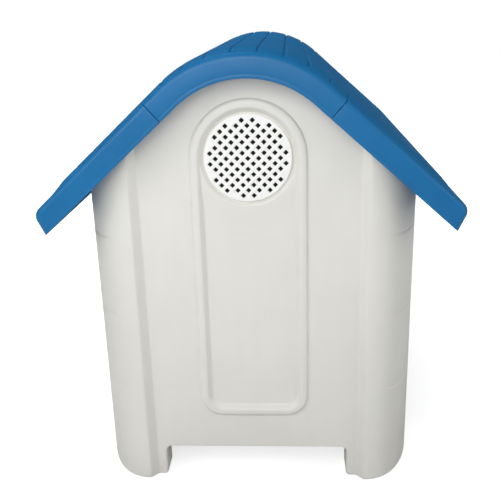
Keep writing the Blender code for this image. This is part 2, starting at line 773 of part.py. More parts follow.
def tray_outline(inset):
    """Floor outline: the body's inside, without the shallow bulge of the columns."""
    face = RECESS_Y - inset
    corner = [(x, y) for x, y in corner_points(inset) if y < face]
    quarter = [(corner[0][0] - TRAY_CORNER_CHAMFER, face)] + corner
    front_right = [(x, -y) for x, y in reversed(quarter)]
    front_left = [(-x, -y) for x, y in quarter]
    rear_left = [(-x, y) for x, y in reversed(quarter)]
    return quarter + front_right + front_left + rear_left


def draft_out(tool, widening):
    """Widens a cutter's upper end, so that the wall it leaves leans outwards as a moulding's does."""
    top = max(vertex.co.z for vertex in tool.data.vertices)
    for vertex in tool.data.vertices:
        if vertex.co.z > top - GAP:
            vertex.co.x *= widening
            vertex.co.y *= widening
    return tool


def build_base_tray():
    inset = WALL + TRAY_GAP
    made = prism("base_tray", [tray_outline(inset)], FLOOR_Z, FLOOR_Z + RIM_HEIGHT)
    pocket = prism("tray_pocket", [tray_outline(inset + WALL)], FLOOR_Z + WALL, FLOOR_Z + 2 * RIM_HEIGHT)
    cut(made, draft_out(pocket, RIM_DRAFT))
    low, high, half = FLOOR_Z - RIB_DEPTH, FLOOR_Z + 0.001, WALL / 2
    for x in (-LEG_X, LEG_X):
        join(made, box("tray_rib", (x - half, -RIB_HALF_Y, low), (x + half, RIB_HALF_Y, high)))
    for y in (-LEG_Y, 0.0, LEG_Y):
        join(made, box("tray_rib", (-RIB_HALF_X, y - half, low), (RIB_HALF_X, y + half, high)))
    legs = [(x, y) for x in (-LEG_X, LEG_X) for y in (-LEG_Y, LEG_Y)]
    for x, y in legs:
        join(made, rod("tray_leg", "Z", (x, y, 0), FLOOR_Z + 0.001, LEG_FOOT_RADIUS, LEG_RADIUS))
    for x, y in legs:
        hollow = LEG_FOOT_RADIUS - WALL
        cut(made, rod("leg_hollow", "Z", (x, y, -0.001), FLOOR_Z, hollow, LEG_RADIUS - WALL))
    join(made, rod("drain_boss", "Z", (0, DRAIN_Y, FLOOR_Z - 0.006), 0.007, DRAIN_BOSS, sides=32))
    cut(made, rod("drain_recess", "Z", (0, DRAIN_Y, FLOOR_Z - 0.001), 0.020, DRAIN_RECESS, sides=32))
    cut(made, rod("drain_bore", "Z", (0, DRAIN_Y, FLOOR_Z - 0.020), 0.040, DRAIN_BORE, sides=32))
    for x, y in tray_screw_places():
        join(made, rod("screw_pad", "Z", (x, y, FLOOR_Z + 0.001), WALL + PAD_HEIGHT - 0.001, PAD_RADIUS))
        cut(made, rod("screw_clearance", "Z", (x, y, FLOOR_Z - 0.010), 0.020, SCREW_PILOT, sides=12))
    return finish_part(made, "base_tray", LIGHT_GREY)


def tray_screw_places():
    ends = [(x, y) for y in (GABLE_SCREW_Y, -GABLE_SCREW_Y) for x in (-GABLE_SCREW_X, GABLE_SCREW_X)]
    return ends + [(x, y) for x in (-SIDE_SCREW_X, SIDE_SCREW_X) for y in (-SIDE_SCREW_Y, SIDE_SCREW_Y)]


def build_tray_screw(x, y, name):
    pad_top = FLOOR_Z + WALL + PAD_HEIGHT + GAP
    low = LEDGE_Z - SCREW_REACH
    crown = SCREW_HEAD - SCREW_CHAMFER
    made = rod(name, "Z", (x, y, pad_top), SCREW_HEAD_HEIGHT, SCREW_HEAD, crown, sides=20)
    join(made, rod("screw_shank", "Z", (x, y, low), pad_top - low + 0.002, SCREW_SHANK, sides=12))
    return finish_part(made, name, MID_GREY)


def build_drain_plug():
    seat = FLOOR_Z - 0.001
    head_low = seat + 0.0028
    made = rod("drain_plug", "Z", (0, DRAIN_Y, head_low), WALL, DRAIN_RECESS - 0.002, sides=32)
    stem_low = FLOOR_Z - 0.014
    stem_length = head_low - stem_low + 0.001
    join(made, rod("plug_stem", "Z", (0, DRAIN_Y, stem_low), stem_length, DRAIN_BORE - 0.001, sides=32))
    grip_low = (-0.011, DRAIN_Y - 0.002, head_low + WALL - 0.001)
    join(made, box("plug_grip", grip_low, (0.011, DRAIN_Y + 0.002, head_low + WALL + 0.006)))
    finish_part(made, "drain_plug", BLUE)
    set_origin(made, (0, DRAIN_Y, head_low))
    return made


def build_drain_seal():
    """Rubber ring between the plug's head and the floor's recess: a turned round section."""
    middle = FLOOR_Z - 0.001 + GAP + SEAL_SECTION
    points = arc((SEAL_RADIUS, 0), SEAL_SECTION, math.pi / 2, math.pi / 2 - 2 * math.pi, 10)[:-1]
    shape = bmesh.new()
    ring = [shape.verts.new((x, 0, z)) for x, z in points]
    for i, vert in enumerate(ring):
        shape.edges.new((vert, ring[(i + 1) % len(ring)]))
    mesh = bpy.data.meshes.new("drain_seal")
    shape.to_mesh(mesh)
    shape.free()
    made = place("drain_seal", mesh, CUTTERS)
    made.location = (0, DRAIN_Y, middle)
    turn = made.modifiers.new("turn", "SCREW")
    turn.steps = 28
    turn.render_steps = 28
    turn.use_merge_vertices = True
    turn.merge_threshold = 0.00005
    return finish_part(made, "drain_seal", RUBBER)


# ---------------------------------------------------------------- roof catches


def build_catch(side, end, name):
    """Quarter-turn catch: its nose points up at rest and turns towards the middle over the roof's lug."""
    back = HALF_WIDTH - WALL - GAP
    low, high = sorted((side * (back - CATCH_THICKNESS), side * back))
    y = end * CATCH_Y
    half = CATCH_WIDTH / 2
    bar = arc((y, CATCH_Z + CATCH_LENGTH - half), half, 0, math.pi, 8)
    bar += arc((y, CATCH_Z - CATCH_TAIL + half), half, math.pi, 2 * math.pi, 8)
    made = prism(name, [bar], low, high, "YZ")
    join(made, rod("catch_hub", "X", (low + 0.0001, y, CATCH_Z), CATCH_THICKNESS - 0.0002, CATCH_HUB))
    cut(made, rod("catch_bore", "X", (low - 0.001, y, CATCH_Z), CATCH_THICKNESS + 0.002, CATCH_BOSS + GAP))
    grip_in, grip_out = sorted((side * (back - CATCH_THICKNESS - CATCH_GRIP), side * (back - 0.002)))
    grip_low = (grip_in, y - 0.0015, CATCH_Z - CATCH_TAIL + 0.001)
    join(made, box("catch_grip", grip_low, (grip_out, y + 0.0015, CATCH_Z - 0.010)))
    finish_part(made, name, BLUE)
    set_origin(made, (side * back, y, CATCH_Z))
    return made


def build_catch_screw(side, end, name):
    head_face = HALF_WIDTH - WALL - CATCH_THICKNESS - 0.0008
    y = end * CATCH_Y
    start = min(side * head_face, side * (head_face - CATCH_SCREW_HEIGHT))
    made = rod(name, "X", (start, y, CATCH_Z), CATCH_SCREW_HEIGHT, CATCH_SCREW_HEAD)
    start = min(side * (head_face - 0.001), side * (head_face - 0.001 + CATCH_SCREW_LENGTH))
    join(made, rod("catch_shank", "X", (start, y, CATCH_Z), CATCH_SCREW_LENGTH, SCREW_SHANK, sides=12))
    return finish_part(made, name, MID_GREY)


# ---------------------------------------------------------------- assembly


SIDES = ((1, "left"), (-1, "right"))
ENDS = ((-1, "front"), (1, "rear"))


def build_body():
    build_base_tray()
    build_rear_panel()
    build_front_panel()
    build_vent_grille()
    build_vent_screen()
    for side, side_name in SIDES:
        build_side_wall(side, f"{side_name}_wall")
        for end, end_name in ENDS:
            build_wall_clip(side, end, 0.190, f"wall_clip_{end_name}_{side_name}_low")
            build_wall_clip(side, end, 0.370, f"wall_clip_{end_name}_{side_name}_high")
    for number, (x, y) in enumerate(tray_screw_places(), 1):
        build_tray_screw(x, y, f"tray_screw_{number}")


def build_roof():
    build_roof_ridge()
    for side, side_name in SIDES:
        build_roof_side(side, f"roof_{side_name}")
        for y, place_name in ((-0.220, "front"), (0.0, "middle"), (0.220, "rear")):
            build_roof_clip(side, y, f"roof_clip_{side_name}_{place_name}")


def build_moving_fittings():
    build_drain_plug()
    build_drain_seal()
    for side, side_name in SIDES:
        for end, end_name in ENDS:
            build_catch(side, end, f"roof_catch_{end_name}_{side_name}")
            build_catch_screw(side, end, f"catch_screw_{end_name}_{side_name}")


build_body()
build_roof()
build_moving_fittings()
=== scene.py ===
import json
import math

import bmesh
import bpy
import numpy as np
from mathutils import Matrix, Vector
from mathutils.geometry import delaunay_2d_cdt


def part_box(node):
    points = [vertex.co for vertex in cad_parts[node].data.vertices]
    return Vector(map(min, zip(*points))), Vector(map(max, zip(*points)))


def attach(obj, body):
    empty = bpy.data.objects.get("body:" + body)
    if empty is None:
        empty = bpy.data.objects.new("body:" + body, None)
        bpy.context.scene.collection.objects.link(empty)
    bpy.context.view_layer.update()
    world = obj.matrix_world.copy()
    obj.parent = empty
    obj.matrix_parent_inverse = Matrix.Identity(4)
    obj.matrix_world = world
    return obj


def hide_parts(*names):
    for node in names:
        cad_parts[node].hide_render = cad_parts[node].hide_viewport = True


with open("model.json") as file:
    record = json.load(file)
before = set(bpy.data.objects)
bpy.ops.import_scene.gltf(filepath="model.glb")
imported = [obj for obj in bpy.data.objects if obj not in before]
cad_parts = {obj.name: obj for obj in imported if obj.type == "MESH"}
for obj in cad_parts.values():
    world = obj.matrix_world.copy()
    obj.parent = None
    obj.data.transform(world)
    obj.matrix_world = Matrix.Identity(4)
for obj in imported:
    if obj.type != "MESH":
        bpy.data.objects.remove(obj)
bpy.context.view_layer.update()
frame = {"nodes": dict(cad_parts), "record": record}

SLOTS = {part["node"]: part["material_slot"] for part in frame["record"]["subparts"]}


def centre_of(node):
    low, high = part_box(node)
    return (low + high) / 2


# ---------------------------------------------------------------- driving dimensions, metres

GAP = 0.0003
WALL = 0.003
SHARP_ANGLE = math.radians(32.0)
ARC_STEPS = 5

ROOF_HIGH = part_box("roof_left")[1]
HALF_DEPTH = ROOF_HIGH.y
HALF_ROOF = ROOF_HIGH.x
ROOF_SLOPE = math.radians(41.9)
FIELD_RISE = 0.005
CROWN_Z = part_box("roof_ridge")[1].z - FIELD_RISE
CROWN_RADIUS = 0.1677
TANGENT_S = CROWN_RADIUS * ROOF_SLOPE
VERGE_DEPTH = 0.033
VERGE_ROUND = 0.0085
VERGE_TOP_Y = HALF_DEPTH - VERGE_ROUND
VERGE_STEPS = 13
# drop below the verge's top edge, and how far the face stands back there
FACE_PROFILE = ((0.0160, 0.0), (0.0262, 0.0), (0.0268, 0.0001), (0.0273, 0.0003), (0.0278, 0.0003),
                (0.0283, 0.0001), (0.0289, 0.0), (0.0318, 0.0), (0.0325, 0.0002), (VERGE_DEPTH, 0.0008))
FACE_INNER_DROP = 0.016
FIELD_RAMP = 0.040
EAVE_RAMP = 0.045
SEAM_S = 0.1516
SEAM_ROUND = 0.0012
SEAM_STEPS = np.array([0.0, 0.0001, 0.0003, 0.0006, 0.0009, 0.0013])
EAVE_RADIUS = 0.016
EAVE_LEAN = math.radians(25.0)
GROOVE_PITCH = 0.0347
GROOVE_HALF = 0.0030
GROOVE_DEPTH = 0.0022
GROOVE_NUMBERS = (1, 2, 3, 4, 6, 7, 8, 9, 10)
GROOVE_FAN = np.linspace(-0.0031, 0.0031, 9)
RIDGE_GROOVES = 4
SIDE_GROOVE_START = 0.020
SIDE_GROOVE_FADE = 0.045
LAP_THICKNESS = 0.002
LAP_DEPTH = 0.0315
LAP_START_Y = 0.3395
LIP_HALF_LENGTH = 0.320
LIP_TAPER = 0.008
LIP_DEPTH = 0.014

HALF_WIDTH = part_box("left_wall")[1].x
SEAM_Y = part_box("left_wall")[1].y + GAP
COLUMN_Y = 0.347
RECESS_Y = 0.335
COLUMN_X = 0.168
STEP_WIDTH = 0.011
STEP_START = 0.14
STEP_END = 0.178
FIELD_HALF = 0.150
STEP_SAMPLES = np.linspace(0.153, 0.1735, 19)
PANEL_MESH = 0.00055
RIM_CLEAR = 0.0009
HOLE_CLEAR = 0.0006
CORNER_Y = 0.185
CORNER_POWER = 2.2
SEAM_LIP = 0.013
APRON_Z = 0.053
FOOT_X = 0.1425
FOOT_FILLET = 0.011
FOOT_ROUND = 0.006
FOOT_RETURN = 0.040
RETURN_TOP_Z = 0.062
CORNER_CLEAR = 0.006
EDGE_ROUNDS = {"apron": 0.0014, "foot": 0.0042, "end": 0.0010, "top": 0.0008}
LIP_START_Z = 0.110
SIDE_TOP_Z = 0.4905
PLANK_ZS = (0.157, 0.279, 0.401)
PLANK_HALF = 0.0019
PLANK_DEPTH = 0.0014
PLANK_END = 0.196
PLANK_FADE = 0.030
PLANK_CURL = 0.004
CURL_START = 0.19
CURL_FADE = 0.04
SINK_HALF = 0.0020
SINK_DEPTH = 0.00016
SINK_CLEAR = 0.110

LOOP_TOP_Z = 0.514
LOOP_BOTTOM_Z = 0.1105
LOOP_RADIUS = 0.0825
LOOP_BEAD = 0.019
LOOP_CORNER = 0.034
LOOP_RISE = 0.0055
LOOP_RECESS = 0.002
BEAD_CREST = 0.0085
BEAD_BROW = 0.0110
BEAD_POWER = 2.4
BEAD_RINGS = (0.0, 0.00012, 0.0004, 0.0009, 0.0016, 0.0025, 0.0035, 0.0047, 0.0060, 0.0073, 0.0086, 0.0098,
              0.0110, 0.0118, 0.0127, 0.0136, 0.0145, 0.0154, 0.0163, 0.0172, 0.0181, 0.0190, 0.0199)
DISH_START = 0.0624
DISH_WIDTH = 0.0046
DISH_RISE = 0.0030
DISH_FADE = 0.030
DISH_RINGS = (0.0611, 0.0618, 0.0632, 0.0641, 0.0650, 0.0659, 0.0668, 0.0677, 0.0686, 0.0696, 0.0708,
              0.0722, 0.0738, 0.0756)
GUTTER_RADIUS = 0.0632
GUTTER_HALF = 0.0013
GUTTER_DEPTH = 0.0011
VENT_RADIUS = 0.0612
VENT_BORE = 0.0593
VENT_PLATE = 0.0024
VENT_PITCH = 0.0075
VENT_HOLE = 0.0055
VENT_HOLE_ROUND = 0.0006
VENT_REACH = 55
VENT_STEPS = 144
RIDGE_HALF = 0.0010
RIDGE_RISE = 0.0006
RIDGE_END = 0.0565
RIDGE_FADE = 0.002
SCREEN_PITCH = 0.0016
SCREEN_WIRE = 0.00035
SCREEN_WEB = 0.0004

DOOR_RADIUS = 0.125
DOOR_TOP_Z = 0.325
DOOR_SILL_Z = 0.108
DOOR_CORNER = 0.025
DOOR_BEAD = 0.018
DOOR_FOOT_RISE = 0.0026
DOOR_RETURN = 0.012

LEDGE_Z = 0.0735
LEDGE_WIDTH = 0.020
LEDGE_SINK = 0.0003
BOSS_RADIUS = 0.006
BOSS_DEPTH = 0.0165
PILOT_RADIUS = 0.0020
SHANK_RADIUS = 0.0017
THREAD_DEPTH = 0.00035
THREAD_PITCH = 0.0012
TRAY_SCREW_HEAD = 0.004
TRAY_SCREWS = [f"tray_screw_{number}" for number in range(1, 9)]
CATCH_SCREW_HEAD = 0.0025
HEAD_SIDE = 0.35
HEAD_RECESS = 0.55
ARM_REACH, ARM_HALF = 0.58, 0.19
CATCH_BOSS_RADIUS = 0.005
CATCH_BOSS_LENGTH = 0.0075
CATCH_Y, CATCH_Z = centre_of("catch_screw_rear_left").yz
CATCH_HEIGHT = 0.006
LUG_REACH = 0.0138
LUG_FOOT = 0.0035
LUG_YS = (0.014, 0.030)
LUG_TOP_ZS = (0.5070, 0.5097)
TRAY_BEVEL, PART_BEVEL = 0.0009, 0.0004

# slot: colour, roughness, colour variation, grain, wear, grime near the ground, shine
FINISHES = {
    "body_plastic": ((0.80, 0.79, 0.735), 0.34, 0.018, 0.14, 0.08, 0.16, 0.5),
    "vent_plastic": ((0.95, 0.95, 0.925), 0.36, 0.012, 0.12, 0.25, 0.0, 0.5),
    "roof_plastic": ((0.006, 0.150, 0.370), 0.38, 0.06, 0.22, 0.06, 0.0, 0.36),
    "tray_plastic": ((0.60, 0.61, 0.60), 0.55, 0.03, 0.50, 0.25, 0.18, 0.5),
    "clip_plastic": ((0.50, 0.51, 0.51), 0.50, 0.04, 0.40, 0.30, 0.0, 0.5),
    "knob_plastic": ((0.020, 0.150, 0.420), 0.38, 0.05, 0.30, 0.35, 0.0, 0.5),
    # screen_mesh: near black as painted shade, standing for the dark inside seen through the vent holes
    "screen_mesh": ((0.012, 0.012, 0.013), 0.60, 0.15, 0.30, 0.0, 0.0, 0.2),
    "seal_rubber": ((0.028, 0.028, 0.029), 0.78, 0.12, 0.60, 0.20, 0.0, 0.5),
}
GRIME_COLOUR = (0.52, 0.47, 0.42)
GRIME_TOP_Z = 0.14
FLOOR_COLOUR = (0.62, 0.62, 0.63)
FLOOR_GLOW = 0.72
FLOOR_HALF = 9
WORLD_COLOUR = (0.97, 0.985, 1.0)
WORLD_LIGHT = 0.375
WORLD_DIM = 0.05

MIDDLE = (0, 0, 0.3)
# name, place, target, size, power, seen in reflections
LIGHTS = (
    ("key", (2.0, 2.2, 1.9), MIDDLE, 1.4, 24, True),
    ("near", (0.12, 1.2, 0.85), (0, 0.35, 0.52), 0.6, 4.1, True),
    ("fill", (-2.6, 1.6, 0.9), MIDDLE, 2.0, 14, True),
    ("top", (0.5, -1.0, 2.9), (0, 0, 0.6), 1.4, 50, False),
    ("front_key", (1.9, -2.4, 1.9), MIDDLE, 1.4, 34, False),
    ("front_fill", (-2.4, -1.9, 1.5), MIDDLE, 1.8, 20, False),
)
CAMERA_PLACE = Vector((-0.058, HALF_DEPTH + 0.926, 0.707))
CAMERA_YAW, CAMERA_PITCH, CAMERA_ROLL = (math.radians(angle) for angle in (3.47, 18.61, -1.62))
CAMERA_LENS = 51.2
CAMERA_SENSOR = 36.0


# ---------------------------------------------------------------- mesh helpers


def add_object(name, data):
    made = bpy.data.objects.new(name, data)
    bpy.context.scene.collection.objects.link(made)
    return made


def piece(node, body, looks, verts, faces):
    """A welded, outward-facing closed mesh that stands for a CAD node and rides on its body."""
    mesh = bpy.data.meshes.new(node + "_fine")
    mesh.from_pydata([tuple(v) for v in verts], [], faces)
    shape = bmesh.new()
    shape.from_mesh(mesh)
    bmesh.ops.remove_doubles(shape, verts=shape.verts, dist=0.000004)
    bmesh.ops.dissolve_degenerate(shape, edges=shape.edges, dist=0.000002)
    bmesh.ops.recalc_face_normals(shape, faces=shape.faces)
    shape.to_mesh(mesh)
    shape.free()
    made = add_object(mesh.name, mesh)
    mesh.shade_smooth()
    mesh.set_sharp_from_angle(angle=SHARP_ANGLE)
    mesh.materials.append(looks[SLOTS[node]])
    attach(made, body)
    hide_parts(node)


def smooth(u):
    u = np.clip(u, 0.0, 1.0)
    return u * u * (3 - 2 * u)


def fan(values, offsets):
    return sorted({round(v + o, 6) for v in values for o in offsets})


def mesh_points(us, vs):
    u, v = np.meshgrid(us, vs)
    return np.stack([u.ravel(), v.ravel()], 1)


def arc_points(centre, radius, start, end, steps):
    angles = np.linspace(start, end, steps + 1)
    return np.stack([centre[0] + radius * np.cos(angles), centre[1] + radius * np.sin(angles)], 1)


def run(start, end, spacing):
    count = max(int(math.ceil(math.dist(start, end) / spacing)), 1)
    return np.linspace(start, end, count + 1)


def chain(*parts):
    """Joins stretches of points and drops repeats where they meet."""
    points = np.concatenate(parts)
    keep = np.linalg.norm(np.diff(points, axis=0, prepend=points[:1] - 1.0), axis=1) > 1e-6
    points = points[keep]
    return points[:-1] if np.linalg.norm(points[0] - points[-1]) < 1e-6 else points


class Arch:
    """Window outline: round top, straight sides and two rounded bottom corners."""

    def __init__(self, radius, top_z, bottom_z, corner):
        self.radius, self.top_z, self.bottom_z, self.corner = radius, top_z, bottom_z, corner

    def ring(self, inset, spacing=0.004):
        """The outline drawn in by some amount, anticlockwise."""
        radius, corner, bottom = self.radius - inset, self.corner - inset, self.bottom_z + inset
        low, side = bottom + corner, radius - corner
        return chain(
            run((-side, bottom), (side, bottom), spacing),
            arc_points((side, low), corner, -math.pi / 2, 0, 14),
            run((radius, low), (radius, self.top_z), spacing),
            arc_points((0, self.top_z), radius, 0, math.pi, 90),
            run((-radius, self.top_z), (-radius, low), spacing),
            arc_points((-side, low), corner, math.pi, 1.5 * math.pi, 14),
        )

    def distance(self, x, z):
        """Signed distance to the outline, negative inside."""
        middle = (self.top_z + self.radius + self.bottom_z) / 2
        half_height = (self.top_z + self.radius - self.bottom_z) / 2
        rounding = np.where(z > middle, self.radius, self.corner)
        qx = np.abs(x) - self.radius + rounding
        qz = np.abs(z - middle) - half_height + rounding
        outside = np.hypot(np.maximum(qx, 0), np.maximum(qz, 0))
        return np.minimum(np.maximum(qx, qz), 0) + outside - rounding


LOOP = Arch(LOOP_RADIUS, LOOP_TOP_Z, LOOP_BOTTOM_Z, LOOP_CORNER)
DOOR = Arch(DOOR_RADIUS, DOOR_TOP_Z, DOOR_SILL_Z, DOOR_CORNER)


def inside(points, outline):
    """Even-odd test of many points against one closed outline."""
    x, y = points[:, 0], points[:, 1]
    hit = np.zeros(len(points), bool)
    for (ax, ay), (bx, by) in zip(outline, np.roll(outline, -1, axis=0)):
        if ay != by:
            hit ^= ((ay > y) != (by > y)) & (x < (bx - ax) * (y - ay) / (by - ay) + ax)
    return hit


def within(points, rims):
    """Which points lie inside the first rim and outside the others."""
    keep = inside(points, rims[0].line)
    for hole in rims[1:]:
        keep &= ~inside(points, hole.line)
    return keep


def thin(points, spacing):
    """Keeps one point in each small square, first come first kept."""
    cells = np.round(points / spacing).astype(int)
    _, first = np.unique(cells, axis=0, return_index=True)
    return points[np.sort(first)]


def away_from(points, lines, clearance):
    """Drops points that lie too near the points of some outlines."""
    reach = np.concatenate(lines)
    reach = reach[np.argsort(reach[:, 0])]
    low = np.searchsorted(reach[:, 0], points[:, 0] - clearance)
    high = np.searchsorted(reach[:, 0], points[:, 0] + clearance)
    keep = np.ones(len(points), bool)
    for i, (a, b) in enumerate(zip(low, high)):
        if b > a:
            keep[i] = ((reach[a:b] - points[i]) ** 2).sum(1).min() > clearance**2
    return points[keep]


def outward(outline):
    """Outward mitre vectors of a closed outline: away from material for both rims and holes."""
    before = outline - np.roll(outline, 1, axis=0)
    after = np.roll(outline, -1, axis=0) - outline
    before /= np.linalg.norm(before, axis=1)[:, None]
    after /= np.linalg.norm(after, axis=1)[:, None]
    total = before + after
    middle = total / np.maximum(np.linalg.norm(total, axis=1)[:, None], 1e-9)
    normal = np.stack([middle[:, 1], -middle[:, 0]], 1)
    return normal / np.clip((middle * before).sum(1), 0.6, 1.0)[:, None]


class Rim:
    """One boundary of a skin: its outline, edge rounding and how deep its return wall goes."""

    def __init__(self, outline, rounding, depth, least=WALL, spare=0.0002):
        self.full = np.asarray(outline, float)
        self.rounding = np.broadcast_to(rounding, len(self.full)).astype(float)
        self.depth = np.broadcast_to(depth, len(self.full)).astype(float)
        self.inset = np.maximum(self.rounding, least) + spare
        self.out = outward(self.full)
        self.line = self.full - self.out * self.inset[:, None]

    def profile(self, wall):
        """Reach and drop of each row from the skin's outer face, round the rim, to its inner face."""
        radius, deep, inner = self.rounding, np.maximum(self.depth, wall), self.inset - WALL
        rows = []
        for angle in np.linspace(0, math.pi / 2, ARC_STEPS + 1):
            rows.append((self.inset - radius * (1 - math.sin(angle)), -radius * (1 - math.cos(angle))))
        return rows + [(self.inset, -deep), (inner, -deep), (inner, -wall)]


def triangulate(rims, inner, clearance, creases=()):
    """Flat triangles between outlines: points, triangles and where each outline's points ended up."""
    lines = [rim.line for rim in rims] + list(creases)
    inner = away_from(inner[within(inner, rims)], lines, clearance)
    edges, start = [], 0
    for line in lines:
        edges += [(start + i, start + (i + 1) % len(line)) for i in range(len(line))]
        start += len(line)
    flat = np.concatenate(lines + [inner])
    out = delaunay_2d_cdt([Vector(p) for p in flat], edges, [], 0, 1e-8)
    uv = np.array([tuple(v) for v in out[0]])
    tris = np.array([tuple(f) for f in out[2]])
    place_of = {source: index for index, sources in enumerate(out[3]) for source in sources}
    return uv, tris[within(uv[tris].mean(1), rims)], place_of


def close_rims(sheets, tris, rims, place_of, levels):
    """Joins an outer and an inner sheet round each rim, through the rows of points that levels gives."""
    count = len(sheets[0])
    faces = [tuple(t) for t in tris] + [tuple(t[::-1] + count) for t in tris]
    verts, total, start = list(sheets), 2 * count, 0
    for rim in rims:
        ids = np.array([place_of[start + i] for i in range(len(rim.line))])
        start += len(ids)
        rows = [ids]
        for level in levels(rim, ids):
            verts.append(level)
            rows.append(np.arange(total, total + len(ids)))
            total += len(ids)
        rows.append(ids + count)
        for low, high in zip(rows, rows[1:]):
            faces += [(low[i - 1], low[i], high[i], high[i - 1]) for i in range(len(ids))]
    return np.concatenate(verts), faces


def shell(rims, inner, height, base, creases=()):
    """A closed moulded skin with rounded, returned edges. base maps u, v to points, normals and u's way."""
    uv, tris, place_of = triangulate(rims, inner, RIM_CLEAR, creases)
    point, normal, along = base(uv[:, 0], uv[:, 1])
    rise = height(uv[:, 0], uv[:, 1])
    outer = point + normal * rise[:, None]
    back = point - normal * (WALL - np.minimum(rise, 0))[:, None]

    def levels(rim, ids):
        across = along[ids] * rim.out[:, :1] + np.array([0.0, 0.0, 1.0]) * rim.out[:, 1:]
        for reach, drop in rim.profile(WALL + np.maximum(rise[ids], 0)):
            yield outer[ids] + across * reach[:, None] + normal[ids] * drop[:, None]

    return close_rims((outer, back), tris, rims, place_of, levels)


def turned_rings(rings, centre, axis, steps):
    """Vertices of rings round an axis; each ring is a radius with a height or one height per step."""
    axis = np.array(axis, float)
    across = np.roll(np.abs(axis), 1)
    sideways = np.cross(axis, across)
    angle = np.linspace(0, 2 * math.pi, steps, endpoint=False)[:, None]
    spoke = np.cos(angle) * across + np.sin(angle) * sideways
    return np.concatenate([centre + spoke * r + axis * np.broadcast_to(h, steps)[:, None] for r, h in rings])


def ring_faces(count, steps, closed):
    """Quads between neighbouring rings, and from the last to the first if the profile is a loop."""
    faces = []
    for i in range(count if closed else count - 1):
        low, high = i * steps, (i + 1) % count * steps
        for k in range(steps):
            j = (k + 1) % steps
            faces.append((low + k, low + j, high + j, high + k))
    return faces


def turned_loop(rings, centre, axis, steps):
    return turned_rings(rings, centre, axis, steps), ring_faces(len(rings), steps, True)


def tube(centre, axis, inner, outer, low, high):
    """Hollow boss with softened edges, from low to high along its axis."""
    soft = min(0.0008, (outer - inner) / 3)
    rings = [(inner, low), (outer - soft, low), (outer, low + soft), (outer, high), (inner, high)]
    return turned_loop(rings, centre, axis, 32)


def swept(sections):
    """Closed solid through matching closed sections."""
    size = len(sections[0])
    last = (len(sections) - 1) * size
    faces = [tuple(range(size)), tuple(last + k for k in reversed(range(size)))]
    for i in range(0, last, size):
        for k in range(size):
            a, b = i + k, i + (k + 1) % size
            faces.append((a, a + size, b + size, b))
    return np.concatenate(sections), faces


def join(verts, faces, solids):
    """Adds further closed solids to a mesh."""
    for more, more_faces in solids:
        offset = len(verts)
        verts = np.concatenate([verts, more])
        faces = faces + [tuple(i + offset for i in face) for face in more_faces]
    return verts, faces


def close_sheets(outer, inner, faces):
    """Joins two sheets with the same faces into one closed skin along their open edges."""
    count = len(outer)
    open_edges = {}
    for face in faces:
        for i, j in zip(face, face[1:] + face[:1]):
            if (j, i) in open_edges:
                del open_edges[(j, i)]
            else:
                open_edges[(i, j)] = True
    back = [tuple(i + count for i in reversed(face)) for face in faces]
    rim = [(j, i, i + count, j + count) for i, j in open_edges]
    return np.concatenate([outer, inner]), faces + back + rim


def ledge_section():
    """Tray ledge seen along its run: depth behind the outer face and height."""
    near, far = WALL - LEDGE_SINK, WALL + LEDGE_WIDTH
    low, soft = LEDGE_Z - WALL, 0.0008
    return [(near, LEDGE_Z), (far - soft, LEDGE_Z), (far, LEDGE_Z - soft),
            (far, low + soft), (far - soft, low), (near, low)]


def tray_bosses(keep):
    """Hollow bosses under a ledge for those tray screws whose middles pass a test."""
    low, high = LEDGE_Z - BOSS_DEPTH, LEDGE_Z - WALL + LEDGE_SINK
    middles = [m for m in map(centre_of, TRAY_SCREWS) if keep(m)]
    return [tube((m.x, m.y, 0), (0, 0, 1), PILOT_RADIUS, BOSS_RADIUS, low, high) for m in middles]


# ---------------------------------------------------------------- gable panels


def corner_plan(steps=90):
    angle = np.linspace(math.pi / 2, 0, steps + 1)
    across = np.clip(np.cos(angle), 0, 1) ** (2 / CORNER_POWER)
    along = np.clip(np.sin(angle), 0, 1) ** (2 / CORNER_POWER)
    x = COLUMN_X + (HALF_WIDTH - COLUMN_X) * across
    y = CORNER_Y + (COLUMN_Y - CORNER_Y) * along
    return np.stack([x, y], 1)


def gable_plan():
    """Plan of a gable panel from its middle to the end of its side flange: run length, points, normals."""
    step_x = COLUMN_X - STEP_WIDTH
    rough = chain([(0, RECESS_Y)], run((STEP_START, RECESS_Y), (step_x, RECESS_Y), 0.0005),
                  run((step_x, RECESS_Y), (COLUMN_X, COLUMN_Y), 0.0005), corner_plan(),
                  run((HALF_WIDTH, CORNER_Y), (HALF_WIDTH, SEAM_Y), 0.004))
    x = np.linspace(STEP_START, STEP_END, 153)
    y = np.interp(x, rough[:, 0], rough[:, 1])
    window = np.hanning(15)[1:-1]
    soft = np.convolve(np.pad(y, len(window) // 2, mode="edge"), window / window.sum(), "valid")
    blend = smooth((x - STEP_END + 0.006) / 0.005)
    head = np.stack([x, soft * (1 - blend) + y * blend], 1)
    points = chain([(0.0, RECESS_Y)], head, rough[rough[:, 0] > STEP_END + 1e-5])
    length = np.concatenate([[0], np.cumsum(np.linalg.norm(np.diff(points, axis=0), axis=1))])
    slope = np.gradient(points, length, axis=0, edge_order=1)
    slope /= np.linalg.norm(slope, axis=1)[:, None]
    return length, points, np.stack([-slope[:, 1], slope[:, 0]], 1)


RUN, PLAN, PLAN_NORMAL = gable_plan()
FLANGE_END = RUN[-1]


def plan_at(t):
    """Plan point and direction out of the panel at run length t, on the positive side."""
    return [np.interp(np.abs(t), RUN, values) for values in (*PLAN.T, *PLAN_NORMAL.T)]


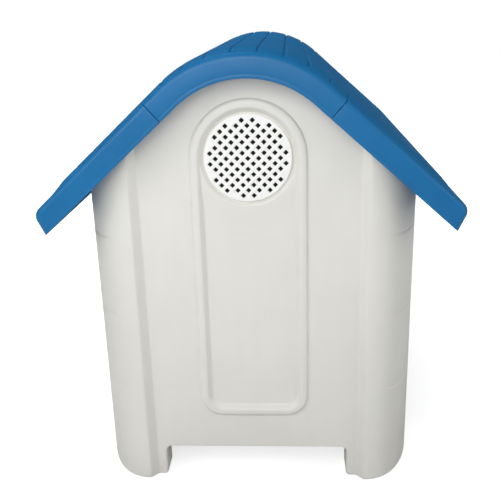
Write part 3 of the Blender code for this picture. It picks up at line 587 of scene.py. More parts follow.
def gable_base(t, z):
    """Undisturbed outer face of a gable panel at run length t and height z."""
    side = np.where(t < 0, -1.0, 1.0)
    x, y, nx, ny = plan_at(t)
    scale = np.hypot(nx, ny)
    nx, ny, flat = nx / scale, ny / scale, np.zeros_like(z)
    parts = ((x * side, y, z), (nx * side, ny, flat), (ny, -nx * side, flat))
    return [np.stack(part, 1) for part in parts]


def roof_point(s, lift):
    """Points s down the slope from the ridge, lifted square to the verge's outer line."""
    s, lift = np.broadcast_arrays(np.asarray(s, float), np.asarray(lift, float))
    angle = np.minimum(np.abs(s) / CROWN_RADIUS, ROOF_SLOPE)
    reach = CROWN_RADIUS + lift
    beyond = np.maximum(np.abs(s) - TANGENT_S, 0.0)
    x = reach * np.sin(angle) + beyond * math.cos(ROOF_SLOPE)
    z = CROWN_Z - CROWN_RADIUS + reach * np.cos(angle) - beyond * math.sin(ROOF_SLOPE)
    return np.where(s < 0, -1.0, 1.0) * x, z


UNDER_X, UNDER_Z = roof_point(np.linspace(0, 0.42, 400), FIELD_RISE - WALL - 3 * GAP)


def roof_under(x, y):
    """Height just under the roof skin, which is lower near the verge."""
    lean = np.minimum(np.arcsin(np.clip(x / CROWN_RADIUS, 0, 1)), ROOF_SLOPE)
    return np.interp(x, UNDER_X, UNDER_Z) - (FIELD_RISE - field_lift(y)) / np.cos(lean)


def gable_top(t):
    """Top edge of a gable panel: clear of the roof at both its outer and its inner face."""
    x, y, nx, ny = plan_at(t)
    return np.minimum(roof_under(x, y), roof_under(x - nx * WALL, y - ny * WALL))


def gable_rim():
    """Outline of a gable panel in run length and height, with feet and apron."""
    fillet, bend_z = FOOT_X - FOOT_FILLET, APRON_Z - FOOT_FILLET
    foot, end = FOOT_X + FOOT_ROUND, FLANGE_END - CORNER_CLEAR
    ts = np.arange(end, 0, -0.002)
    right = (
        ("apron", run((0, APRON_Z), (fillet, APRON_Z), 0.008)),
        ("fillet", arc_points((fillet, bend_z), FOOT_FILLET, math.pi / 2, 0, 10)),
        ("foot", run((FOOT_X, bend_z), (FOOT_X, FOOT_ROUND), 0.005)),
        ("foot", arc_points((foot, FOOT_ROUND), FOOT_ROUND, math.pi, 1.5 * math.pi, 7)),
        ("foot", run((foot, 0), (end, 0), 0.003)),
        ("foot", [(FLANGE_END, 0.0)]),
        ("end", run((FLANGE_END, CORNER_CLEAR), (FLANGE_END, float(gable_top(FLANGE_END))), 0.008)),
        ("top", np.stack([ts, gable_top(ts)], 1)),
    )
    rows = []
    for kind, stretch in right:
        for i, (t, z) in enumerate(stretch):
            if not rows or math.dist(rows[-1][:2], (t, z)) > 1e-6:
                rows.append((t, z, kind, i / max(len(stretch) - 1, 1)))
    rows.append((0.0, float(gable_top(0.0)), "top", 0.0))
    rows += [(-t, z, kind, u) for t, z, kind, u in rows[-2:0:-1]]
    rounding = [edge_round(kind, u) for _, _, kind, u in rows]
    depth = [edge_depth(kind, u, z) for _, z, kind, u in rows]
    return Rim([row[:2] for row in rows], rounding, depth)


def edge_round(kind, u):
    if kind == "fillet":
        return EDGE_ROUNDS["apron"] + (EDGE_ROUNDS["foot"] - EDGE_ROUNDS["apron"]) * u
    return EDGE_ROUNDS[kind]


def edge_depth(kind, u, z):
    if kind == "fillet":
        return WALL + (FOOT_RETURN - WALL) * float(smooth(u * 1.6))
    if kind == "end":
        return FOOT_RETURN if z < RETURN_TOP_Z else lip_depth(z)
    return FOOT_RETURN if kind == "foot" else WALL


def lip_depth(z):
    """The joining lips stop above the tray's rim."""
    return SEAM_LIP if z > LIP_START_Z else WALL


def gable_grid():
    """Interior points of a gable panel: fine across its step, corners and plank marks."""
    coarse = np.arange(-FLANGE_END + 0.006, FLANGE_END - 0.004, 0.011)
    fine = np.concatenate([STEP_SAMPLES, np.arange(0.1775, FLANGE_END - 0.002, 0.0042)])
    ts = np.concatenate([coarse[np.abs(coarse) < FIELD_HALF], fine, -fine])
    zs = np.concatenate([np.arange(0.006, 0.66, 0.010), fan(PLANK_ZS, np.linspace(-0.0045, 0.0045, 9))])
    zs = thin(np.stack([zs, zs * 0], 1)[np.argsort(zs)], 0.0008)[:, 0]
    return mesh_points(ts, zs)


def dips(z, levels, half, depth):
    """Soft level grooves at some heights."""
    return -sum(np.exp(-(((z - level) / half) ** 2)) for level in levels) * depth


def plank_marks(t, z):
    """Plank grooves that run round a corner from the side and die out before the step."""
    far = np.abs(t)
    curl = PLANK_CURL * (1 - smooth((far - CURL_START) / CURL_FADE))
    return dips(z - curl, PLANK_ZS, PLANK_HALF, PLANK_DEPTH) * smooth((far - PLANK_END) / PLANK_FADE)


def bead_profile(e, width, rise, foot):
    """Raised bead seen across: a steep outer side, a round crest and a steep inner side down to foot."""
    short = np.clip(BEAD_CREST - e, 0, BEAD_CREST) / BEAD_CREST
    climb = np.sqrt(np.clip(1 - short**BEAD_POWER, 0, 1)) * rise
    down = np.clip((e - BEAD_BROW) / (width - BEAD_BROW), 0, 1)
    fall = foot + (rise - foot) * (0.5 + 0.5 * np.cos(math.pi * down))
    return np.where(e <= 0, 0.0, np.where(e < BEAD_CREST, climb, fall))


def rear_height(t, z):
    """Raised loop with a soft dish for the vent in its round top, and hair-fine hollows over inner ribs."""
    loop = LOOP.distance(t, z)
    bead = bead_profile(-loop, LOOP_BEAD, LOOP_RISE, -LOOP_RECESS)
    away = np.hypot(t, z - LOOP_TOP_Z)
    past = away - GUTTER_RADIUS
    fade = 1 - smooth((past - DISH_WIDTH) / DISH_FADE)
    dish = DISH_RISE * smooth(past / DISH_WIDTH) * fade - LOOP_RECESS
    gutter = GUTTER_DEPTH * np.exp(-((past / GUTTER_HALF) ** 2))
    shape = np.where(loop < -BEAD_CREST, np.maximum(bead, dish), bead)
    shape = np.where(away < DISH_START, -LOOP_RECESS, shape) - gutter
    shape = np.where(np.abs(t) > FIELD_HALF, 0.0, shape)
    sinks = dips(z, PLANK_ZS, SINK_HALF, SINK_DEPTH) * (np.abs(t) < FIELD_HALF) * (away > SINK_CLEAR)
    return shape + plank_marks(t, z) + sinks


def circle(radius):
    return arc_points((0, LOOP_TOP_Z), radius, 0, 2 * math.pi, VENT_STEPS)[:-1]


def from_vent(points):
    return np.hypot(points[:, 0], points[:, 1] - LOOP_TOP_Z)


def build_rear_panel(looks):
    grid = gable_grid()
    grid = grid[(np.abs(LOOP.distance(*grid.T) + 0.0100) > 0.0125) & (from_vent(grid) > 0.0765)]
    rings = np.concatenate([LOOP.ring(e) for e in BEAD_RINGS[1:]])
    rings = rings[from_vent(rings) > DISH_START + 0.0006]
    dish = np.concatenate([circle(radius) for radius in DISH_RINGS])
    inner_side = (LOOP.distance(*dish.T) < -LOOP_BEAD + 0.004) & (dish[:, 1] < LOOP_TOP_Z)
    dish = dish[(from_vent(dish) < DISH_START + 0.0008) | inner_side]
    points = thin(np.concatenate([rings, dish, grid]), PANEL_MESH)
    rims = [gable_rim(), Rim(circle(VENT_BORE)[::-1], 0.0004, WALL)]
    skin = shell(rims, points, rear_height, gable_base, [LOOP.ring(0.0), circle(DISH_START)])
    piece("rear_panel", "body", looks, *join(*skin, gable_fittings()))


def front_height(t, z):
    bead = bead_profile(DOOR_BEAD - DOOR.distance(t, z), DOOR_BEAD + 0.008, LOOP_RISE, DOOR_FOOT_RISE)
    return np.where(np.abs(t) > FIELD_HALF, 0.0, bead) + plank_marks(t, z)


def build_front_panel(looks):
    grid = gable_grid()
    grid = grid[DOOR.distance(*grid.T) > DOOR_BEAD + 0.003]
    rings = np.concatenate([DOOR.ring(e - DOOR_BEAD) for e in BEAD_RINGS[1:17]])
    points = thin(np.concatenate([rings, grid]), PANEL_MESH)
    rims = [gable_rim(), Rim(DOOR.ring(0.0)[::-1], 0.0030, DOOR_RETURN)]
    skin = shell(rims, points, front_height, gable_base, [DOOR.ring(-DOOR_BEAD)])
    verts, faces = join(*skin, gable_fittings())
    piece("front_panel", "body", looks, verts * (-1.0, -1.0, 1.0), faces)


def gable_fittings():
    """Tray ledge that follows the inside of a gable panel, and its two screw bosses."""
    far = np.concatenate([np.arange(-FLANGE_END + 0.001, -0.13, 0.006), [-0.13, 0.0, 0.13]])
    runs = np.concatenate([far, -far[far < -0.1305][::-1]])
    point, normal, _ = gable_base(runs, 0 * runs)
    sections = []
    for p, n in zip(point, normal):
        sections.append(np.array([p - n * depth + (0, 0, z) for depth, z in ledge_section()]))
    return [swept(sections)] + tray_bosses(lambda middle: middle.y > SEAM_Y)


# ---------------------------------------------------------------- side walls


def side_height(t, z):
    return dips(z, PLANK_ZS, PLANK_HALF, PLANK_DEPTH)


def side_fittings(side):
    """Tray ledge, its screw bosses and the bosses that the catches turn on."""
    half = SEAM_Y - 0.020
    ledge = [(side * (HALF_WIDTH - depth), z) for depth, z in ledge_section()]
    solids = [swept([np.array([(x, y, z) for x, z in ledge]) for y in (-half, half)])]
    solids += tray_bosses(lambda middle: abs(middle.y) < SEAM_Y and middle.x * side > 0)
    back, length = HALF_WIDTH - WALL + LEDGE_SINK, CATCH_BOSS_LENGTH + LEDGE_SINK
    for y in (-CATCH_Y, CATCH_Y):
        centre = (side * back, y, CATCH_Z)
        solids.append(tube(centre, (-side, 0, 0), PILOT_RADIUS, CATCH_BOSS_RADIUS, 0.0, length))
    return solids


def build_side_wall(side, name, looks):
    def base(t, z):
        ones = np.ones((len(t), 1))
        point = np.stack([side * HALF_WIDTH + 0 * t, -side * t, z], 1)
        return point, ones * (side, 0, 0), ones * (0, -side, 0)

    end, low, high = SEAM_Y - GAP, APRON_Z, SIDE_TOP_Z
    corners = ((-end, low), (end, low), (end, high), (-end, high))
    rows = []
    for start, stop, kind in zip(corners, corners[1:] + corners[:1], ("apron", "end", "top", "end")):
        rows += [(t, z, kind) for t, z in run(start, stop, 0.008)[:-1]]
    rounding = [EDGE_ROUNDS[kind] for _, _, kind in rows]
    depth = [lip_depth(z) if kind == "end" else WALL for _, z, kind in rows]
    ts = np.arange(-end + 0.008, end - 0.004, 0.008)
    zs = np.concatenate([np.arange(low + 0.006, high, 0.012), fan(PLANK_ZS, np.linspace(-0.005, 0.005, 13))])
    grid = thin(mesh_points(ts, zs), 0.0006)
    skin = shell([Rim([row[:2] for row in rows], rounding, depth)], grid, side_height, base)
    piece(name, "body", looks, *join(*skin, side_fittings(side)))


# ---------------------------------------------------------------- vent grille and its screen, black as painted shade


def vent_ridges(u, v):
    """Low diagonal ridges along the webs between the holes, gone near the rim."""
    pitch = VENT_PITCH * math.sqrt(2)
    down = v - LOOP_TOP_Z
    shape = np.zeros_like(u)
    for line in ((u + down) / math.sqrt(2), (u - down) / math.sqrt(2)):
        off = np.abs((line / pitch) % 1.0 - 0.5) * pitch
        shape = np.maximum(shape, np.exp(-((off / RIDGE_HALF) ** 2)) * RIDGE_RISE)
    return shape * (1 - smooth((np.hypot(u, down) - RIDGE_END) / RIDGE_FADE))


def vent_places():
    span = math.isqrt(VENT_REACH)
    for i in range(-span, span + 1):
        for j in range(-span, span + 1):
            if (i + j) % 2 == 0 and i * i + j * j < VENT_REACH:
                yield i * VENT_PITCH, LOOP_TOP_Z + j * VENT_PITCH


def diamond(x, z):
    """Clockwise square hole on its corner, its corners slightly rounded."""
    reach = VENT_HOLE / math.sqrt(2)
    points = []
    for k in range(4):
        near = np.array([math.cos(math.pi / 2 * -k), math.sin(math.pi / 2 * -k)])
        base = near * (reach - VENT_HOLE_ROUND)
        turn = np.array([near[1], -near[0]]) * VENT_HOLE_ROUND
        points += [base - turn, near * (reach - VENT_HOLE_ROUND * 0.35), base + turn]
    return np.array(points) + (x, z)


def vent_plate(rims, grid, front):
    """Front sheet, hole walls and back sheet of the grille's plate."""
    for hole in rims[1:]:
        near = np.abs(grid - hole.full.mean(0)).sum(1) < VENT_HOLE / math.sqrt(2) + 0.0010
        grid = grid[~near]
    uv, tris, place_of = triangulate(rims, grid, HOLE_CLEAR)

    def at(points, level):
        return np.stack([points[:, 0], np.broadcast_to(level, len(points)), points[:, 1]], 1)

    def levels(rim, ids):
        for reach, drop in ((0.35, 0.12), (0.75, 0.45), (1.0, 1.0)):
            yield at(rim.line + rim.out * (rim.inset * reach)[:, None], front - rim.inset * drop)
        yield at(rim.full, front - VENT_PLATE + 0.0002)

    sheets = (at(uv, front + vent_ridges(*uv.T)), at(uv, front - VENT_PLATE))
    return close_rims(sheets, tris, rims, place_of, levels)


def vent_ring(outer, inner, low, high):
    """Closed ring round the vent's axis with softened low edges."""
    soft = 0.0004
    rings = [(outer, high), (outer, low + soft), (outer - soft, low),
             (inner + soft, low), (inner, low + soft), (inner, high)]
    return turned_loop(rings, (0, 0, LOOP_TOP_Z), (0, 1, 0), 96)


def build_vent_grille(looks):
    seat = RECESS_Y - LOOP_RECESS + GAP
    rims = [Rim(circle(VENT_RADIUS), 0.0009, VENT_PLATE, 0.0, 0.0001)]
    rims += [Rim(diamond(x, z), 0.0003, VENT_PLATE, 0.0, 0.0001) for x, z in vent_places()]
    step = np.arange(-VENT_RADIUS, VENT_RADIUS, 0.0013)
    plate = vent_plate(rims, mesh_points(step, step + LOOP_TOP_Z), seat + VENT_PLATE)
    collar = vent_ring(VENT_BORE - GAP, VENT_BORE - 0.0018, seat - 0.0058, seat + 0.0005)
    piece("rear_vent_grille", "body", looks, *join(*plate, [collar]))


def build_shade_screen(looks):
    """Black fly screen, painted shade for the dark inside seen through the vent holes: a plain weave in
    relief, fused into a stiff round rim.
    """
    low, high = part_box("rear_vent_screen")
    radius = (high.x - low.x) / 2
    span = np.arange(-radius + 0.0022, radius - 0.0022, SCREEN_PITCH / 4)
    u, v = np.meshgrid(span, span)
    wave_u, wave_v = np.cos(math.pi * u / SCREEN_PITCH), np.cos(math.pi * v / SCREEN_PITCH)
    weave = np.maximum(wave_u**2 * (0.5 + 0.5 * wave_v), wave_v**2 * (0.5 - 0.5 * wave_u)) * SCREEN_WIRE
    keep = np.hypot(u, v) < radius - 0.0020
    cells = keep[:-1, :-1] & keep[1:, :-1] & keep[:-1, 1:] & keep[1:, 1:]
    used = np.pad(cells, ((0, 1), (0, 1))) | np.pad(cells, ((1, 0), (0, 1)))
    used |= np.pad(cells, ((0, 1), (1, 0))) | np.pad(cells, ((1, 0), (1, 0)))
    index = np.cumsum(used).reshape(used.shape) - 1
    corners = (index[:-1, :-1], index[:-1, 1:], index[1:, 1:], index[1:, :-1])
    faces = [tuple(quad) for quad in np.stack([corner[cells] for corner in corners], 1)]
    front = high.y - 0.0006 - SCREEN_WIRE
    levels = (front + weave[used], front - SCREEN_WEB - weave[used])
    outer, inner = (np.stack([u[used], y, v[used] + LOOP_TOP_Z], 1) for y in levels)
    rim = vent_ring(radius, radius - 0.0025, low.y, high.y)
    piece("rear_vent_screen", "body", looks, *join(*close_sheets(outer, inner, faces), [rim]))


# ---------------------------------------------------------------- roof


def groove_centres(on_ridge):
    return [(n - 0.5) * GROOVE_PITCH for n in GROOVE_NUMBERS if (n <= RIDGE_GROOVES) == on_ridge]


def groove_rise(s, strength):
    """Depth of the V grooves that run along the ridge, at distances s down the slope."""
    shape = np.zeros_like(s)
    for centre in groove_centres(True) + groove_centres(False):
        off = np.abs(np.abs(s) - centre) / GROOVE_HALF
        shape = np.minimum(shape, -GROOVE_DEPTH * (1 - smooth(off)))
    return shape * strength


def field_lift(y):
    """The roof field rises softly from the verge's rounding."""
    return FIELD_RISE * smooth((VERGE_TOP_Y - np.abs(y)) / FIELD_RAMP)


def groove_strength(y):
    """Ridge grooves run right up to the verge's rounding."""
    return smooth((VERGE_TOP_Y + 0.0005 - np.abs(y)) / 0.0025)


def side_groove_strength(y):
    """Side grooves fade in behind the verge's plain border."""
    return smooth((VERGE_TOP_Y - SIDE_GROOVE_START - np.abs(y)) / SIDE_GROOVE_FADE)


def seam_drop(away):
    """Rounding of an edge at a seam, some distance away from it."""
    near = np.clip(SEAM_ROUND - away, 0, SEAM_ROUND)
    return SEAM_ROUND - np.sqrt(SEAM_ROUND**2 - near**2)


def spaced(values):
    """Sorted values, without those that nearly repeat the one before."""
    values = np.unique(np.round(values, 5))
    return values[np.concatenate([[True], np.diff(values) > 0.00008])]


def verge_arc(radius, start, end, steps):
    """Points of the verge's rounding at some radius: y and lift."""
    angles = np.linspace(start, end, steps)
    return [(VERGE_TOP_Y + radius * math.sin(a), radius * math.cos(a) - VERGE_ROUND) for a in angles]


def field_section():
    """The roof's section along its length, from the middle out to the verge's rounding: y, lift."""
    flat = (0.0, 0.08, 0.16, 0.24, 0.28, 0.30, 0.31, 0.32)
    ramp = VERGE_TOP_Y - FIELD_RAMP * np.linspace(1, 0, 15)[:-1]
    ys = np.concatenate([flat, ramp, VERGE_TOP_Y - np.array([0.0022, 0.0014, 0.0006, 0.0])])
    return [(float(y), float(field_lift(y))) for y in ys]


def outer_section():
    """The same section, continued round and down the verge's face."""
    face = [(HALF_DEPTH - back, -drop) for drop, back in FACE_PROFILE]
    return field_section() + verge_arc(VERGE_ROUND, 0, math.pi / 2, VERGE_STEPS)[1:] + face


def inner_section():
    """The section inside the skin, from the verge's lower edge to the middle."""
    face = [(HALF_DEPTH - WALL, -VERGE_DEPTH), (HALF_DEPTH - WALL, -FACE_INNER_DROP)]
    ys = VERGE_TOP_Y - FIELD_RAMP * np.linspace(0, 1, 9)[1:]
    ramp = [(y, float(field_lift(y)) - WALL) for y in ys]
    return face + verge_arc(VERGE_ROUND - WALL, math.pi / 2, 0, 7) + ramp + [(0.0, FIELD_RISE - WALL)]


def build_roof_ridge(looks):
    edge = SEAM_S - GAP
    grooves = fan(groove_centres(True), GROOVE_FAN)
    s = spaced(np.concatenate([np.arange(0, edge, 0.0035), grooves, edge - SEAM_STEPS]))
    half, inner_half = np.array(outer_section()), np.array(inner_section())
    outer = np.concatenate([half[::-1] * (-1, 1), half[1:]])
    inner = np.concatenate([inner_half, inner_half[:-1][::-1] * (-1, 1)])
    tangent = np.gradient(outer, axis=0)
    tangent /= np.linalg.norm(tangent, axis=1)[:, None]
    inward = np.stack([tangent[:, 1], -tangent[:, 0]], 1)
    inward[(inward * (outer - (0, -0.2))).sum(1) > 0] *= -1
    mask = groove_strength(outer[:, 0])
    sections = []
    for station in np.concatenate([-s[:0:-1], s]):
        section = outer + inward * seam_drop(edge - abs(station))
        section[:, 1] += groove_rise(np.full(len(outer), station), mask)
        every = np.concatenate([section, inner])
        x, z = roof_point(station, every[:, 1])
        sections.append(np.stack([x, every[:, 0], z], 1))
    solids = []
    for side in (-1, 1):
        solids.append(lip_strip(side * (edge - 0.0001 - WALL), side * (edge - 0.0001)))
        solids += [seam_lap(side, end) for end in (-1, 1)]
    piece("roof_ridge", "roof", looks, *join(*swept(sections), solids))


def lap_section(gap):
    """Section of the lap under the verge's rounding, some gap inside the skin: y and lift."""
    def path(depth):
        ramp = [(y, float(field_lift(y)) - depth) for y in np.linspace(VERGE_TOP_Y, LAP_START_Y, 7)[1:]]
        return [(HALF_DEPTH - depth, -LAP_DEPTH)] + verge_arc(VERGE_ROUND - depth, math.pi / 2, 0, 7) + ramp
    return path(WALL + gap) + path(WALL + gap + LAP_THICKNESS)[::-1]


def seam_lap(side, end):
    """Lap of the ridge piece behind a side piece's edge, so that the seam shows dark."""
    sections = []
    for away, gap in ((-0.0060, -GAP), (-0.0012, -GAP), (-0.0006, GAP), (0.0050, GAP)):
        y, lift = np.array(lap_section(gap)).T
        x, z = roof_point(side * (SEAM_S + away), lift)
        sections.append(np.stack([x, end * y, z], 1))
    return swept(sections)


def lip_strip(start, end):
    """Joining lip under the roof skin beside a seam, with tapered ends."""
    full = LIP_HALF_LENGTH - LIP_TAPER
    high = FIELD_RISE - WALL + 0.0006
    sections = []
    for y, reach in ((-LIP_HALF_LENGTH, 0.4), (-full, 1.0), (full, 1.0), (LIP_HALF_LENGTH, 0.4)):
        low = -WALL - LIP_DEPTH * reach
        x, z = roof_point((start, end, end, start), (high, high, low, low))
        sections.append(np.stack([x, np.full(4, y), z], 1))
    return swept(sections)


def eave_frame():
    """Where the eave's rounding starts, its centre, and the slope's normal and downhill direction."""
    x = HALF_ROOF - EAVE_RADIUS
    tx, tz = (float(value) for value in roof_point(TANGENT_S, -EAVE_RADIUS))
    centre = np.array([x, tz - (x - tx) * math.tan(ROOF_SLOPE)])
    normal = np.array([math.sin(ROOF_SLOPE), math.cos(ROOF_SLOPE)])
    downhill = np.array([math.cos(ROOF_SLOPE), -math.sin(ROOF_SLOPE)])
    return TANGENT_S + (x - tx) / math.cos(ROOF_SLOPE), centre, normal, downhill


EAVE_START, EAVE_CENTRE, SLOPE_NORMAL, DOWNHILL = eave_frame()
EAVE_TURN = math.pi / 2 - ROOF_SLOPE + EAVE_LEAN


def eave_level(inset, fraction_arc, fraction_face):
    """A point on the eave's rounding and leaning face, for a face inset by some amount."""
    radius = EAVE_RADIUS - inset
    angle = EAVE_TURN * fraction_arc
    point = EAVE_CENTRE + radius * (math.cos(angle) * SLOPE_NORMAL + math.sin(angle) * DOWNHILL)
    if fraction_face > 0:
        face_down = math.cos(angle) * DOWNHILL - math.sin(angle) * SLOPE_NORMAL
        depth = EAVE_RADIUS - radius * math.cos(angle)
        travel = (VERGE_DEPTH - depth) / -face_down.dot(SLOPE_NORMAL)
        point = point + face_down * travel * fraction_face
    return point


def eave_samples():
    """Steps round the eave: fractions of its rounding and leaning face, depth and reach at the verge."""
    rows = [(float(u), 0.0) for u in np.linspace(0, 1, 13)[1:]]
    last_depth = EAVE_RADIUS - (EAVE_RADIUS - VERGE_ROUND) * math.cos(EAVE_TURN)
    for drop, _ in FACE_PROFILE:
        if drop > last_depth + 0.0008:
            rows.append((1.0, (drop - last_depth) / (VERGE_DEPTH - last_depth)))
    result = []
    for arc_part, face_part in rows:
        offset = eave_level(VERGE_ROUND, arc_part, face_part) - EAVE_CENTRE
        depth = EAVE_RADIUS - float(offset @ SLOPE_NORMAL)
        result.append((arc_part, face_part, depth, EAVE_START + float(offset @ DOWNHILL)))
    return result


def face_y(depth, depth_in):
    """Where a side piece's verge face stands, on its outer surface or some depth in."""
    drops, backs = zip((0.0, 0.0), *FACE_PROFILE)
    return HALF_DEPTH - (float(np.interp(depth, drops, backs)) if depth_in == 0 else depth_in)


def side_distances(seam):
    """Distances down the slope at which a side piece is sampled: fine at its seam, grooves and eave ramp."""
    s = np.concatenate([np.arange(seam, EAVE_START, 0.009), fan(groove_centres(False), GROOVE_FAN),
                        seam + SEAM_STEPS, EAVE_START - EAVE_RAMP * np.linspace(0.0, 1.0, 12)])
    s = spaced(s[(s >= seam) & (s <= EAVE_START)])
    s[-1] = EAVE_START
    return s


def side_rows(depth_in):
    """Rows of a side piece from front to rear: y, drop at the verge's rounding and field height."""
    rows = [(y, 0.0, lift) for y, lift in field_section()]
    arc = verge_arc(VERGE_ROUND - depth_in, 0, math.pi / 2, VERGE_STEPS)
    rows += [(y, -lift, 0.0) for y, lift in arc[1:]]
    rows = [(y, max(drop, depth_in), field) for y, drop, field in rows]
    return [(-y, drop, field) for y, drop, field in reversed(rows)] + rows[1:]


def side_sheet(s, seam, depth_in):
    """Outer surface of a side piece, or its inner surface at some depth in, with the same faces."""
    eave = eave_samples()
    ramp = smooth((EAVE_START - s) / EAVE_RAMP)
    rows = side_rows(depth_in)
    verts, faces = [], []
    for y, drop, field in rows:
        level = field * ramp - drop
        if depth_in == 0:
            level += groove_rise(s, float(side_groove_strength(y)) * smooth((EAVE_START - s) / 0.006))
            level -= seam_drop(s - seam)
        x, z = roof_point(s, level)
        verts += [(float(a), y, float(b)) for a, b in zip(x, z)]
        for arc_part, face_part, depth, _ in eave:
            p = eave_level(drop, arc_part, face_part)
            on_face = drop > VERGE_ROUND - 1e-6
            edge_y = math.copysign(face_y(depth, depth_in), y) if on_face else y
            verts.append((float(p[0]), edge_y, float(p[1])))
    columns = len(s) + len(eave)
    for i in range(len(rows) - 1):
        for a in range(i * columns, (i + 1) * columns - 1):
            faces.append((a, a + 1, a + columns + 1, a + columns))
    for end, edge_row in ((-1, 0), (1, len(rows) - 1)):
        add_verge_face(verts, faces, s, eave, seam, end, edge_row * columns, depth_in)
    return np.array(verts), faces


def add_verge_face(verts, faces, s, eave, seam, end, first, depth_in):
    """Flat band of a side piece below its rounded top edge, as lines parallel to the slope."""
    previous = [first + k for k in range(len(s))]
    scale = (s - seam) / (EAVE_START - seam)
    back = seam_drop(s - seam) if depth_in == 0 else 0 * s
    for k, (_, _, depth, reach) in enumerate(eave):
        x, z = roof_point(seam + scale * (reach - seam), -depth)
        row = list(range(len(verts), len(verts) + len(s) - 1)) + [first + len(s) + k]
        y = end * (face_y(depth, depth_in) - back)
        verts += [tuple(p) for p in np.stack([x, y, z], 1)[:-1]]
        for i in range(len(s) - 1):
            face = (previous[i], previous[i + 1], row[i + 1], row[i])
            faces.append(face if end > 0 else face[::-1])
        previous = row


def build_roof_side(side, name, looks):
    seam = SEAM_S + GAP
    s = side_distances(seam)
    outer, faces = side_sheet(s, seam, 0.0)
    inner, _ = side_sheet(s, seam, WALL)
    verts, faces = close_sheets(outer, inner, faces)
    lip = lip_strip(side * (seam + 0.0001), side * (seam + 0.0001 + WALL))
    lugs = [catch_lug(side, end) for end in (-1, 1)]
    piece(name, "roof", looks, *join(verts * (side, 1, 1), faces, [lip] + lugs))


def catch_lug(side, end):
    """Hook-shaped lug that a turned catch holds down."""
    inner_face = HALF_WIDTH - WALL
    plate, tip = inner_face - LUG_REACH, inner_face - LUG_FOOT
    foot_top = CATCH_Z - CATCH_HEIGHT - GAP
    low_top, high_top = LUG_TOP_ZS
    outline = ((plate, foot_top - LUG_FOOT), (tip, foot_top - LUG_FOOT), (tip, foot_top),
               (plate + WALL, foot_top), (plate + WALL, low_top), (plate, high_top))
    ys = sorted(end * (CATCH_Y - away) for away in LUG_YS)
    return swept([np.array([(side * x, y, z) for x, z in outline]) for y in ys])


# ---------------------------------------------------------------- materials


class Nodes:
    """Short hand for wiring the nodes of a material or a world."""

    def __init__(self, owner, kind, output):
        owner.use_nodes = True
        self.tree = owner.node_tree
        self.shader = self.tree.nodes.get("Principled BSDF")
        self.where = self.add(kind).outputs[output]

    def add(self, kind, inputs=(), **values):
        node = self.tree.nodes.new(kind)
        for key, value in values.items():
            setattr(node, key, value)
        self.fill(node, inputs)
        return node

    def fill(self, node, inputs):
        """Links a node's inputs to other nodes' outputs, or gives them numbers or colours."""
        for key, value in inputs:
            socket = node.inputs[key]
            if isinstance(value, bpy.types.NodeSocket):
                self.tree.links.new(value, socket)
            elif socket.type == "RGBA":
                socket.default_value = (*value, 1.0)
            else:
                socket.default_value = value

    def noise(self, scale, detail=3.0, stretch=None):
        where = self.where
        if stretch:
            where = self.add("ShaderNodeMapping", (("Scale", stretch), ("Vector", where))).outputs["Vector"]
        inputs = (("Scale", scale), ("Detail", detail), ("Vector", where))
        return self.add("ShaderNodeTexNoise", inputs).outputs["Fac"]

    def remap(self, value, low, high, to_low, to_high, **values):
        keys = ("Value", "From Min", "From Max", "To Min", "To Max")
        inputs = zip(keys, (value, low, high, to_low, to_high))
        return self.add("ShaderNodeMapRange", inputs, **values).outputs["Result"]

    def mix(self, factor, a, b):
        inputs = ((0, factor), (6, a), (7, b))
        return self.add("ShaderNodeMix", inputs, data_type="RGBA").outputs[2]

    def math(self, operation, a, b):
        return self.add("ShaderNodeMath", ((0, a), (1, b)), operation=operation).outputs[0]

    def part_of_place(self, axis):
        return self.add("ShaderNodeSeparateXYZ", ((0, self.where),)).outputs[axis]


def moulded(name, colour, roughness, vary, grain, wear, grime, shine):
    """Moulded plastic: mottled pigment, flow streaks, fine grain, pale worn edges, grime near the ground."""
    material = bpy.data.materials.new(name)
    n = Nodes(material, "ShaderNodeTexCoord", "Object")
    dark, light, streak = (tuple(min(c * (1 + vary * k), 1.0) for c in colour) for k in (-1, 1, -1.6))
    base = n.mix(n.remap(n.noise(7.0, 4.0), 0.35, 0.65, 0.0, 1.0), dark, light)
    base = n.mix(n.remap(n.noise(3.0, 2.0, (18.0, 18.0, 2.5)), 0.40, 0.62, 0.0, 0.30), base, streak)
    edge = n.add("ShaderNodeNewGeometry").outputs["Pointiness"]
    patches = n.remap(n.noise(60.0), 0.35, 0.7, 0.2, 1.0)
    worn = n.math("MULTIPLY", n.remap(edge, 0.505, 0.56, 0.0, wear), patches)
    base = n.mix(worn, base, tuple(min(c * 1.25 + 0.06, 1.0) for c in colour))
    if grime:
        low = n.remap(n.part_of_place("Z"), 0.0, GRIME_TOP_Z, grime, 0.0)
        dust = n.math("MULTIPLY", low, n.remap(n.noise(22.0, 5.0), 0.3, 0.7, 0.3, 1.0))
        base = n.mix(dust, base, GRIME_COLOUR)
    rough = n.remap(n.noise(35.0, 4.0), 0.3, 0.7, roughness - 0.05, roughness + 0.06)
    fine, soft = n.noise(900.0, 2.0), n.noise(70.0, 3.0)
    height = n.math("ADD", n.math("MULTIPLY", fine, 0.7), n.math("MULTIPLY", soft, 0.3))
    bump = n.add("ShaderNodeBump", (("Strength", grain), ("Distance", 0.0003), ("Height", height)))
    n.fill(n.shader, (("Base Color", base), ("Roughness", rough), ("IOR", 1.49),
                      ("Specular IOR Level", shine), ("Normal", bump.outputs["Normal"])))
    return material


# ---------------------------------------------------------------- screws and other small parts


